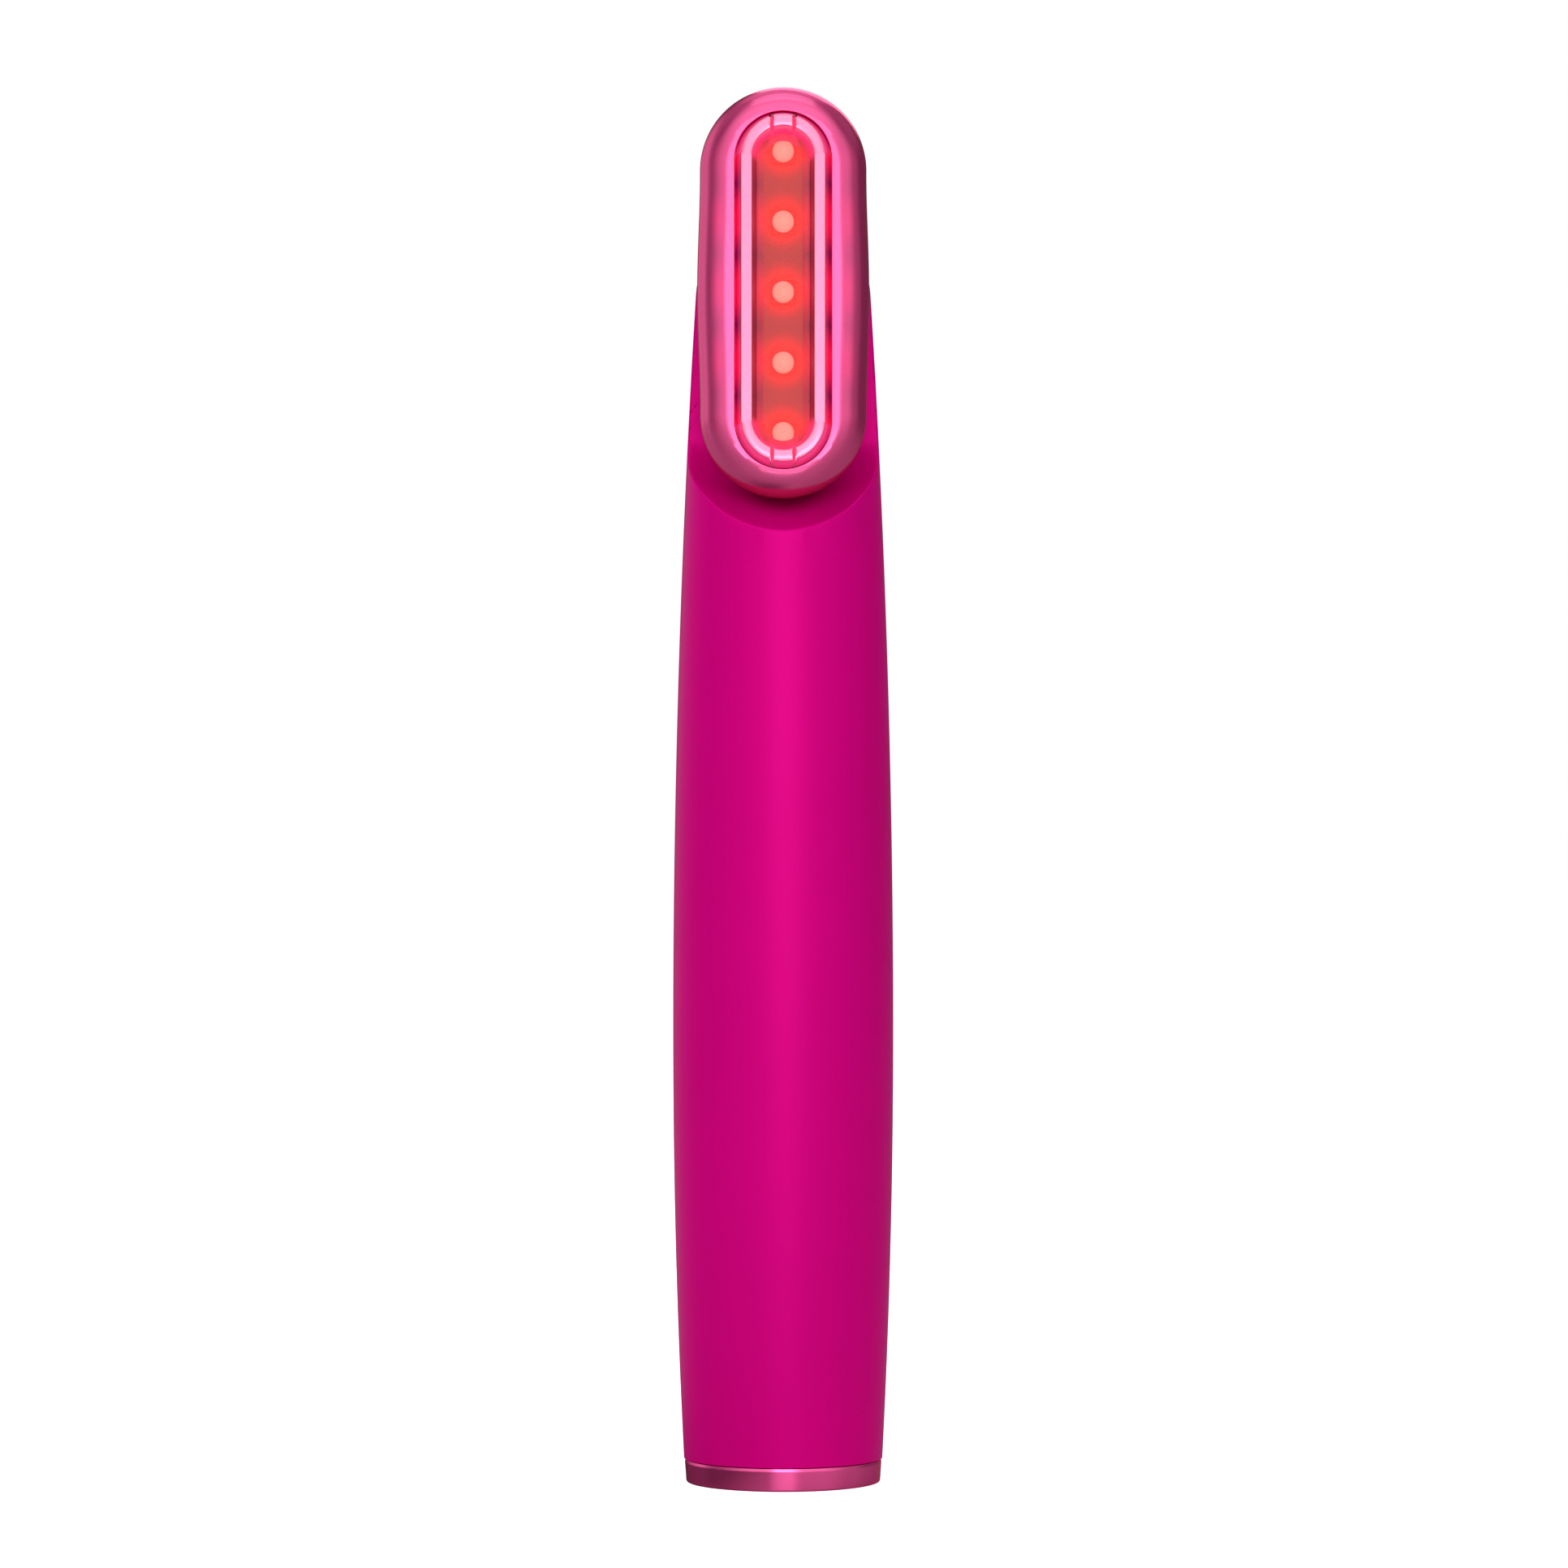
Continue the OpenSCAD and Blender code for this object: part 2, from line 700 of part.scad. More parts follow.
module board_parts() {
    color("black") {
        board_part(-chip_w / 2, chip_z, [chip_w, chip_h, chip_w]);
        board_part(part_edge - board_half_w, small_chip_z, [small_chip_w, chip_h, small_chip_w]);
        board_part(board_half_w - part_edge - small_chip_w, small_chip_z,
                   [small_chip_w, chip_h, small_chip_w + 1]);
    }
    color("dimgray") translate([2 * part_edge + coil_d / 2 - board_half_w, board_back,
                                board_high_z - part_edge - coil_d / 2])
        rotate([-90, 0, 0]) cylinder(d = coil_d, h = coil_h);
}

module board_screws() {
    color("silver") board_screw_places() translate([0, board_back, 0]) rotate([-90, 0, 0])
        pan_screw(small_screw_d, board_back - spine_y, board_screw_head_d, board_screw_head_h);
}

// Depth of the hole that the plunger moves in
switch_hole_y = board_back + 0.3;
plunger_low = switch_hole_y + 0.05 + button_travel;

module tact_switch() {
    color("dimgray") translate([0, 0, button_z]) difference() {
        translate([-switch_w / 2, board_back, -switch_w / 2])
            cube([switch_w, switch_h, switch_w]);
        along_y(switch_hole_y, far) circle(d = plunger_d + 0.1);
    }
}

module switch_plunger() {
    color("black") translate([0, 0, button_z])
        along_y(plunger_low, plunger_top) circle(d = plunger_d);
}

module power_button() {
    color("palevioletred") translate([0, 0, button_z]) {
        along_y(plunger_top, button_y) button_outline(0);
        along_y(plunger_top, button_flange_top) button_outline(button_flange_w);
    }
}

module button_seal() {
    seal_y = button_flange_top + button_seal_gap;
    color("dimgray") translate([0, 0, button_z]) along_y(seal_y, seal_y + button_seal_t)
        difference() {
            button_outline(button_seal_w);
            button_outline(button_clear);
        }
}

// The lens stands just behind its light, on a wider foot
indicator_led_h = 0.6;
lens_y = board_back + indicator_led_h + 0.2;
lens_foot_t = 0.8;

module indicator_led() {
    color("white") translate([-indicator_d / 2, board_back, indicator_z - indicator_d / 4])
        cube([indicator_d, indicator_led_h, indicator_d / 2]);
}

module indicator_lens() {
    color("whitesmoke") translate([0, 0, indicator_z]) {
        along_y(lens_y, half_d(indicator_z)) circle(d = indicator_d);
        along_y(lens_y, lens_y + lens_foot_t) circle(d = indicator_d + 1);
    }
}

// Motor

module motor_can() {
    color("silver") translate([0, motor_y, motor_z]) difference() {
        cylinder(d = motor_d, h = motor_l);
        translate([0, 0, motor_l - rotor_in - 0.5]) cylinder(d = rotor_d + 0.1, h = far);
    }
}

module motor_boot() {
    color("dimgray") translate([0, motor_y, motor_z + 0.5]) difference() {
        cylinder(r = boot_r, h = motor_l - 1);
        translate([0, 0, -1]) cylinder(d = motor_d, h = motor_l + 2);
    }
}

module motor_shaft() {
    color("silver") translate([0, motor_y, rotor_z - rotor_in])
        cylinder(d = rotor_d, h = rotor_l + rotor_in);
}

module motor_weight() {
    color("goldenrod") translate([0, motor_y, rotor_z + rotor_gap]) difference() {
        cylinder(r = weight_r, h = weight_l);
        translate([-far / 2, rotor_d * 0.9, -1]) cube([far, far, far]);
        translate([0, 0, -1]) cylinder(d = rotor_d, h = far);
    }
}

// Wires

module tube(points, r, sides) {
    n = len(points);
    function heading(i) = points[min(i + 1, n - 1)] - points[max(i - 1, 0)];
    function unit(v) = v / norm(v);
    function across(t) = unit(cross(t, [1, 0.013, 0.007]));
    rings = [for (i = [0 : n - 1]) let (t = unit(heading(i)), a = across(t), b = cross(t, a))
        for (k = [0 : sides - 1])
            points[i] + r * (cos(360 * k / sides) * a + sin(360 * k / sides) * b)];
    walls = [for (i = [0 : n - 2]) for (k = [0 : sides - 1]) let (m = (k + 1) % sides)
        [i * sides + k, (i + 1) * sides + k, (i + 1) * sides + m, i * sides + m]];
    first = [for (k = [0 : sides - 1]) k];
    last = [for (k = [sides - 1 : -1 : 0]) (n - 1) * sides + k];
    polyhedron(points = rings, faces = concat([first], walls, [last]));
}

module charge_lead() {
    route = [[6, port_board_y + port_board_t + lead_r, 12], [6.3, 3.2, 13], [7.4, 3.3, 14],
             [8.4, 3, 15.4], [8.9, 2.2, 17.5], [8.9, 1.2, 20], [8.9, 0.6, 24], [8.9, 0.2, 30],
             [8.9, 0, 40], [8.9, 0, 50], [8.8, 1.2, 54], [8.5, 2.4, 57], [8.2, 3.2, 59.5],
             [7.8, 3.9, 62], [7.1, 4.8, 64], [6.1, board_back + lead_r + 0.1, 65.6],
             [5.4, board_back + lead_r, 66.8]];
    color("white") tube(route, lead_r, 8);
}

module harness_socket() {
    color("white") translate([-socket_w / 2, board_y - socket_t,
                              board_high_z - socket_h - socket_edge])
        cube([socket_w, socket_t, socket_h]);
}

// The wires rise behind the swivel, bend forward and end at the hollow shaft
module handle_harness() {
    color("black") head_frame() {
        translate([0, -harness_bend, -harness_back]) rotate([90, 0, 0])
            cylinder(r = harness_r, h = -harness_end_v - harness_bend);
        translate([0, -harness_bend, harness_bend - harness_back]) rotate([0, 90, 0])
            rotate_extrude(angle = 90) translate([harness_bend, 0]) circle(r = harness_r, $fn = 32);
    }
}

module head_harness() {
    color("black") head_frame() translate([0, 0, -shaft_back + 0.2])
        cylinder(r = harness_r, h = led_board_top - led_board_t + shaft_back - 0.2);
}

// Swivel

module swivel_bush() {
    color("khaki") head_frame() {
        ring(bush_r, shaft_d / 2 + bush_clear, -bush_back, 0);
        ring(bush_flange_r, shaft_d / 2 + bush_clear, -bush_back, -neck_wall);
    }
}

module glide_washer() {
    color("whitesmoke") head_frame() ring(glide_d / 2, shaft_d / 2 + washer_clear, 0, glide_t);
}

module wave_washer() {
    color("silver") head_frame()
        ring(bush_flange_r - washer_clear, shaft_d / 2 + washer_clear, -wave_back, -bush_back);
}

module swivel_shaft() {
    color("silver") head_frame() difference() {
        union() {
            translate([0, 0, -shaft_back]) cylinder(d = shaft_d, h = shaft_back + shaft_seat);
            translate([0, 0, shaft_seat]) cylinder(d = shaft_flange_d, h = shaft_flange_t);
        }
        translate([0, 0, -far / 2]) cylinder(d = shaft_bore_d, h = far);
        ring(far, shaft_d / 2 - clip_groove, -clip_back, -stop_back);
        for (a = [0, 120, 240]) rotate(a) translate([0, shaft_screw_r, 0])
            cylinder(d = small_screw_d, h = far);
    }
}

module shaft_screws() {
    color("silver") head_frame() for (a = [0, 120, 240]) rotate(a)
        translate([0, shaft_screw_r, shaft_seat + shaft_flange_t])
            pan_screw(small_screw_d, shaft_flange_t + shaft_screw_bite, shaft_screw_head_d,
                      shaft_screw_head_h);
}

module stop_washer() {
    color("silver") head_frame() {
        ring(bush_flange_r - washer_clear, shaft_d / 2, -stop_back, -stop_front);
        intersection() {
            ring(lug_r, bush_flange_r - 1, -stop_back, -stop_front);
            translate([0, 0, -stop_back - 1]) linear_extrude(stop_t + 2)
                polygon([[0, 0], far * [-sin(lug_half_angle), -cos(lug_half_angle)],
                         far * [sin(lug_half_angle), -cos(lug_half_angle)]]);
        }
    }
}

module retaining_clip() {
    color("dimgray") head_frame() difference() {
        ring(shaft_d / 2 - clip_groove + clip_w, shaft_d / 2 - clip_groove, -clip_back, -stop_back);
        translate([-clip_mouth / 2, 0, -far / 2]) cube([clip_mouth, far, far]);
    }
}

// Head

module pod_profile(inset) {
    r = head_r - inset;
    low = head_gap + inset;
    high = face_v - inset;
    back_r = head_back_r - inset;
    front_r = head_front_r - inset;
    translate([0, low]) square([r - back_r, back_r]);
    translate([0, low + back_r]) square([r, high - front_r - low - back_r]);
    translate([0, high - front_r]) square([r - front_r, front_r]);
    intersection() {
        translate([r - back_r, low + back_r]) circle(r = back_r);
        translate([r - back_r, low]) square(back_r);
    }
    intersection() {
        translate([r - front_r, high - front_r]) circle(r = front_r);
        translate([r - front_r, high - front_r]) square(front_r);
    }
}

module pod(inset) {
    for (side = [0, 1]) mirror([0, side, 0]) translate([0, head_half_l, 0])
        rotate_extrude(angle = 180, $fn = 96) pod_profile(inset);
    translate([0, head_half_l, 0]) rotate([90, 0, 0]) linear_extrude(2 * head_half_l) {
        pod_profile(inset);
        mirror([1, 0]) pod_profile(inset);
    }
}

module cover_zone(low, high) {
    translate([-far / 2, -far / 2, low]) cube([far, far, high - low]);
}

module head_shell() {
    color("palevioletred") head_frame() difference() {
        pod(0);
        pod(head_wall);
        cover_zone(-1, cover_top);
        stadium_block(opening_r, ring_half_l, carrier_flange_top - 1, face_v + 1);
    }
}

module head_back_cover() {
    color("palevioletred") head_frame() difference() {
        union() {
            difference() {
                intersection() {
                    pod(0);
                    cover_zone(0, cover_top);
                }
                pod(head_wall);
            }
            translate([0, 0, head_gap + weld])
                cylinder(d = shaft_flange_d + 1, h = shaft_seat - head_gap - weld);
        }
        translate([0, 0, -1]) cylinder(r = shaft_d / 2, h = far);
        for (a = [0, 120, 240]) rotate(a)
            translate([0, shaft_screw_r, shaft_seat - shaft_screw_bite - 0.1])
            cylinder(d = small_screw_d, h = far);
    }
}

// Cross-section of the contact ring, measured out from the middle line
module ring_section() {
    polygon([[ring_in_r - ring_draft, ring_foot], [ring_out_r + ring_draft, ring_foot],
             [ring_out_r, ring_top], [ring_in_r, ring_top]]);
}

module whole_ring() {
    for (side = [0, 1]) mirror([0, side, 0]) translate([0, ring_half_l, 0])
        rotate_extrude(angle = 180, $fn = 96) ring_section();
    translate([0, ring_half_l, 0]) rotate([90, 0, 0]) linear_extrude(2 * ring_half_l) {
        ring_section();
        mirror([1, 0]) ring_section();
    }
}

module electrode() {
    start = block_half_w + block_slit;
    head_frame() intersection() {
        whole_ring();
        translate([start, -far / 2, 0]) cube([far, far, far]);
    }
}

module electrode_right() {
    color("pink") electrode();
}

module electrode_left() {
    color("pink") mirror([1, 0, 0]) electrode();
}

module insulator(side) {
    head_frame() mirror([0, side, 0]) intersection() {
        whole_ring();
        translate([-block_half_w, 0, 0]) cube([2 * block_half_w, far, far]);
    }
}

module insulator_top() {
    color("lightpink") insulator(0);
}

module insulator_bottom() {
    color("lightpink") insulator(1);
}

module pin_places() {
    for (x = [-pin_x, pin_x]) for (v = [-pin_v, pin_v]) translate([x, v, 0]) children();
}

module ring_carrier() {
    color("crimson") head_frame() difference() {
        union() {
            stadium_block(carrier_r - carrier_fit, ring_half_l, led_board_top, ring_foot);
            intersection() {
                pod(head_wall + carrier_fit);
                stadium_block(carrier_flange_r, ring_half_l, carrier_flange_top - carrier_flange_t, far);
            }
        }
        stadium_block(led_room_r, ring_half_l, 0, window_low - window_ledge_t);
        stadium_block(window_r - window_ledge_w, ring_half_l, 0, far);
        stadium_block(window_r, ring_half_l, window_low, far);
        pin_places() cylinder(d = pin_d + 0.1, h = far);
    }
}

module led_window() {
    color("tomato") head_frame()
        stadium_block(window_r - carrier_fit, ring_half_l, window_low, window_top);
}

module led_board() {
    color("darkred") head_frame()
        stadium_block(led_board_r, ring_half_l, led_board_top - led_board_t, led_board_top);
}

module led(place) {
    color("lightsalmon") head_frame() translate([0, (3 - place) * led_pitch, led_board_top]) {
        translate([-led_base / 2, -led_base / 2, 0]) cube([led_base, led_base, led_base_h]);
        cylinder(d = led_d, h = led_base_h + led_lens_h);
    }
}

module contact_pins() {
    color("gold") head_frame() pin_places() translate([0, 0, led_board_top])
        cylinder(d = pin_d, h = ring_foot - led_board_top);
}

front_shell();
rear_shell();
end_cap();
cap_seal();
chassis();
chassis_screws();
battery_cell();
battery_pad();
battery_tabs();
main_board();
board_parts();
board_screws();
tact_switch();
indicator_led();
indicator_lens();
button_seal();
motor_can();
motor_boot();
port_shell();
port_tongue();
port_board();
charge_lead();
harness_socket();
handle_harness();
swivel_bush();
glide_washer();
wave_washer();
power_button();
switch_plunger();
motor_shaft();
motor_weight();
head_shell();
head_back_cover();
electrode_left();
electrode_right();
insulator_top();
insulator_bottom();
ring_carrier();
led_window();
led_board();
led(1);  // led_1
led(2);  // led_2
led(3);  // led_3
led(4);  // led_4
led(5);  // led_5
contact_pins();
swivel_shaft();
shaft_screws();
stop_washer();
retaining_clip();
head_harness();
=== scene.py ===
"""Skin firming wand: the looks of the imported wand, laid out as a Blender add-on."""

import json
import math

import bmesh
import bpy
from mathutils import Matrix, Vector
from mathutils.kdtree import KDTree


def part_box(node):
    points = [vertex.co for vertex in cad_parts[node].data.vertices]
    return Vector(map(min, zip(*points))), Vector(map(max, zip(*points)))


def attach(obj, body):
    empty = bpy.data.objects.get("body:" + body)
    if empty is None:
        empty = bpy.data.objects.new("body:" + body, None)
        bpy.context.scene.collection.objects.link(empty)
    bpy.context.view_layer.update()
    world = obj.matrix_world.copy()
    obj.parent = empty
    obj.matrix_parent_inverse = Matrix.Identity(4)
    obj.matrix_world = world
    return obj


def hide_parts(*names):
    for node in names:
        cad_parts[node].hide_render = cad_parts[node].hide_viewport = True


bl_info = {
    "name": "Skin Firming Wand",
    "version": (1, 0, 0),
    "blender": (4, 5, 0),
    "location": "View3D > Sidebar > Wand",
    "description": "Builds the outer pieces, finishes and studio of a skin firming wand on its CAD frame",
    "category": "Object",
}

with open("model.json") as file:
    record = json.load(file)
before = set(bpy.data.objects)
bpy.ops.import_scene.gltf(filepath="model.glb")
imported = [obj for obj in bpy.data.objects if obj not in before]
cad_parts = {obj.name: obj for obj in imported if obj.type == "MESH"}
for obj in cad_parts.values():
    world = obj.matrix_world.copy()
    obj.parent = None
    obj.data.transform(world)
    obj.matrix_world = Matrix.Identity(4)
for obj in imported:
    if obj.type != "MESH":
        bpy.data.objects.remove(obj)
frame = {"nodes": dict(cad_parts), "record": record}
NODES = frame["nodes"]


def length(name, description, default):
    """A size in metres with a name and a note for the sidebar."""
    return bpy.props.FloatProperty(name=name, description=description, default=default,
                                   unit="LENGTH", subtype="DISTANCE", precision=5)


def colour(name, description, default):
    """A colour in linear values for the sidebar."""
    return bpy.props.FloatVectorProperty(name=name, description=description, default=default,
                                         size=3, min=0.0, max=1.0, subtype="COLOR")


class WandSizes(bpy.types.PropertyGroup):
    """Sizes of the wand's outer pieces."""

    handle_half_w: length("Handle half width", "Half of the greatest width of the handle", 0.01255)
    belly_z: length("Belly height", "Height of the widest place above the base", 0.0505)
    bow_high_r: length("Upper bow", "Radius of the side curve above the widest place", 1.380)
    bow_low_r: length("Lower bow", "Radius of the side curve below the widest place", 0.920)
    depth_ratio: bpy.props.FloatProperty(name="Depth ratio", default=0.78, min=0.5, max=1.0,
                                         description="Depth of the handle as a share of its width")
    shell_t: length("Shell wall", "Wall of the two shells", 0.0014)
    parting_y: length("Parting plane", "Plane that parts the front shell from the rear shell", 0.002)
    seam: length("Seam", "Width of the small chamfer along each seam", 0.00008)
    rim: length("Rim", "Width of the rounding along the scoop's rim", 0.00025)
    pivot_z: length("Swivel height", "Height of the swivel axis above the base", 0.1346)
    neck_t: length("Neck", "Thickness of the neck at the swivel axis", 0.0085)
    neck_wall: length("Neck wall", "Thickness of the neck's front plate", 0.0016)
    dish_slope: bpy.props.FloatProperty(name="Scoop slope", default=math.radians(56.0), unit="ROTATION",
                                        subtype="ANGLE", description="Slope of the scoop's wall")
    bush_r: length("Bush", "Radius of the swivel's bush in the neck", 0.0042)
    cap_h: length("Cap height", "Height of the cap's visible band", 0.0026)
    cap_gap: length("Cap gap", "Gap between the cap's band and the shells", 0.00012)
    cap_inset: length("Cap inset", "Step of the cap inside the line of the handle", 0.0001)
    cap_edge_r: length("Cap rounding", "Rounding of the cap's lower edge", 0.00025)
    cap_bead: length("Cap bead", "Rounding of the cap's upper edge", 0.00005)
    cap_taper_h: length("Cap taper", "Height of the band that leans in under the cap's upper edge", 0.00026)
    cap_taper: length("Cap lean", "How far that band leans in", 0.00006)
    seal_z: length("Seal height", "Height of the seal's groove above the base", 0.0039)
    seal_h: length("Seal width", "Width of the seal", 0.001)
    seal_t: length("Seal depth", "Depth of the seal's groove", 0.0005)
    cap_floor_t: length("Cap floor", "Floor of the cap", 0.0014)
    collar_t: length("Collar wall", "Wall of the cap's collar", 0.001)
    collar_h: length("Collar height", "Height of the collar above the band", 0.0039)
    collar_clear: length("Collar clearance", "Clearance between the collar and the shells", 0.00008)
    port_w: length("Port width", "Width of the opening for the charging socket", 0.00924)
    port_h: length("Port height", "Height of the opening for the charging socket", 0.00356)
    head_l: length("Head length", "Length of the head", 0.0461)
    head_end_r: length("Head end", "Radius of the head's round ends", 0.00935)
    head_bow: length("Head bow", "How far the head's sides bow out in the middle", 0.00032)
    head_depth: length("Head depth", "Depth of the head from its back to its face", 0.0098)
    head_front_r: length("Front rounding", "Rounding of the head's front edge", 0.0033)
    head_back_r: length("Back rounding", "Rounding of the head's back edge", 0.0044)
    head_wall: length("Head wall", "Wall of the head's shell and cover", 0.0013)
    cover_h: length("Cover height", "Height of the head's back cover", 0.0038)
    head_gap: length("Head gap", "Gap between the neck and the head", 0.0004)
    opening_r: length("Ring opening", "Half width of the opening around the ring", 0.0054)
    ring_half_l: length("Ring sides", "Half length of the ring's straight sides", 0.0146)
    ring_out_r: length("Ring outside", "Half width of the ring outside, at its top", 0.0047)
    ring_in_r: length("Ring inside", "Half width of the ring inside, at its top", 0.00345)
    ring_draft: length("Ring slope", "Slope of the ring's outer wall, measured across", 0.0006)
    ring_in_draft: length("Inner slope", "Slope of the ring's inner wall, measured across", 0.0005)
    ring_rise: length("Ring height", "Height of the ring above the face", 0.0023)
    ring_sink: length("Ring foot", "Depth of the ring's foot below the face", 0.0008)
    ring_edge: length("Ring edge", "Rounding along the ring's top edges", 0.0001)
    strip_t: length("Strip", "How far the lit strips stand proud of the ring's sides", 0.00004)
    strip_half_l: length("Strip length", "Half length of the lit strips", 0.0150)
    spill_x: length("Spill", "Distance of the lights' spill on the head from its middle", 0.0073)
    boss_r: length("Boss", "Radius of the boss in the back cover", 0.006)
    boss_top: length("Boss height", "Top of the boss over the neck", 0.0026)
    shaft_r: length("Shaft", "Radius of the swivel shaft", 0.003)
    shaft_screw_r: length("Screw circle", "Radius of the circle of the shaft's screws", 0.00425)
    small_screw_r: length("Screw hole", "Radius of a screw's hole", 0.0006)
    block_half_w: length("Block", "Half width of the two insulating blocks", 0.0011)
    block_slit: length("Block slit", "Slit beside each insulating block", 0.00025)
    window_r: length("Window", "Half width of the window between the ring's feet", 0.00292)
    window_t: length("Window thickness", "Thickness of the window", 0.0008)
    window_drop: length("Window depth", "Depth of the window below the face", 0.0002)
    led_pitch: length("Light distance", "Distance between two lights", 0.0079)
    led_d: length("Light width", "Diameter of each light", 0.0024)
    led_lens_h: length("Light height", "Height of a light's lens over its base", 0.0009)
    led_base: length("Light base", "Width of a light's square base", 0.0028)
    led_base_h: length("Light base height", "Height of a light's square base", 0.0005)
    led_board_drop: length("Light board", "Depth of the light board below the face", 0.0034)
    button_z: length("Button height", "Height of the button above the base", 0.094)
    button_w: length("Button width", "Width of the button", 0.0066)
    button_l: length("Button length", "Length of the button", 0.0115)
    button_clear: length("Button clearance", "Clearance around the button", 0.00015)
    button_flange_t: length("Button flange", "Thickness of the button's flange", 0.0006)
    button_crown: length("Button rounding", "Rounding of the button's edge", 0.0006)
    indicator_z: length("Indicator height", "Height of the indicator above the base", 0.081)
    indicator_d: length("Indicator width", "Diameter of the indicator lens", 0.0016)


class WandColours(bpy.types.PropertyGroup):
    """Colours of the wand's finishes."""

    body: colour("Body", "Satin plastic of the handle", (0.70, 0.0, 0.222))
    head: colour("Head", "Lacquer of the head and the button", (0.64, 0.034, 0.19))
    cap: colour("Cap", "Lacquer of the end cap", (0.85, 0.05, 0.29))
    ring: colour("Ring", "Contact ring", (0.86, 0.09, 0.18))
    window: colour("Window", "Clear red window", (0.50, 0.03, 0.03))
    light: colour("Light", "Lens of a light", (1.0, 0.68, 0.54))
    glow: colour("Glow", "Light in the red pieces", (0.87, 0.002, 0.05))


class WandStudio(bpy.types.PropertyGroup):
    """Camera and floor of the studio."""

    camera_distance: length("Camera distance", "Distance of the camera from the handle's axis", 0.530)
    camera_height: length("Camera height", "Height of the level camera above the floor", 0.07942)
    view_width: length("View width", "Width that the camera sees at the handle's axis", 0.17871)
    floor_width: length("Floor width", "Width of the pale floor", 12.0)


def sizes():
    return bpy.context.scene.wand_sizes


def colours():
    return bpy.context.scene.wand_colours


def studio():
    return bpy.context.scene.wand_studio


# Finishes

def add(tree, kind, values=None, **settings):
    """Adds a shader node, sets its own settings, and fills its sockets with values or links."""
    made = tree.nodes.new(kind)
    for key, value in settings.items():
        setattr(made, key, value)
    for key, value in (values or {}).items():
        socket = made.inputs[key]
        if isinstance(value, bpy.types.NodeSocket):
            tree.links.new(value, socket)
        elif socket.type == "RGBA" and len(value) == 3:
            socket.default_value = (*value, 1.0)
        else:
            socket.default_value = value
    return made


def new_finish(name):
    """An empty material with its Object coordinates, in metres."""
    made = bpy.data.materials.new(name)
    made.use_nodes = True
    tree = made.node_tree
    tree.nodes.clear()
    place = add(tree, "ShaderNodeTexCoord").outputs["Object"]
    return made, tree, place


def noise(tree, place, size, detail=3.0, stretch=(1.0, 1.0, 1.0)):
    """Grey noise whose lumps are about size metres wide."""
    scaled = add(tree, "ShaderNodeMapping", {"Vector": place, "Scale": stretch}).outputs["Vector"]
    return add(tree, "ShaderNodeTexNoise", {"Vector": scaled, "Scale": 1.0 / size,
                                            "Detail": detail, "Roughness": 0.55}).outputs["Fac"]


def spread(tree, value, low, high, start=0.3, end=0.7):
    """Maps a grey value from start..end to low..high."""
    return add(tree, "ShaderNodeMapRange", {"Value": value, "From Min": start, "From Max": end,
                                            "To Min": low, "To Max": high}).outputs["Result"]


def blend(tree, share, first, second, mode="MIX"):
    """Mixes two colours, each a socket or three numbers."""
    made = tree.nodes.new("ShaderNodeMix")
    made.data_type = "RGBA"
    made.blend_type = mode
    for key, value in ((0, share), (6, first), (7, second)):
        if isinstance(value, bpy.types.NodeSocket):
            tree.links.new(value, made.inputs[key])
        elif key == 0:
            made.inputs[key].default_value = value
        else:
            made.inputs[key].default_value = (*value, 1.0)
    return made.outputs[2]


def shade(rgb, factor):
    return tuple(min(1.0, c * factor) for c in rgb)


def finish(tree, **sockets):
    """The principled shader and the output, with the given sockets by their names."""
    values = {key.replace("_", " "): value for key, value in sockets.items()}
    shader = add(tree, "ShaderNodeBsdfPrincipled", values)
    add(tree, "ShaderNodeOutputMaterial", {"Surface": shader.outputs["BSDF"]})
    return shader


def bump(tree, height, strength, distance):
    return add(tree, "ShaderNodeBump", {"Height": height, "Strength": strength,
                                        "Distance": distance}).outputs["Normal"]


def satin_body():
    """Satin pearl plastic: a faint moulded grain and a soft shine in the body's own colour."""
    made, tree, place = new_finish("body_plastic")
    cloud = noise(tree, place, 0.018, 2.0)
    grain = noise(tree, place, 0.00022, 2.0)
    tone = blend(tree, spread(tree, cloud, 0.0, 1.0), shade(colours().body, 0.98),
                 shade(colours().body, 1.02))
    finish(tree, Base_Color=tone, Metallic=0.13, Roughness=spread(tree, grain, 0.33, 0.39), IOR=1.12,
           Specular_Tint=(1.0, 0.6, 0.8, 1.0), Normal=bump(tree, grain, 0.05, 0.00002))
    return made


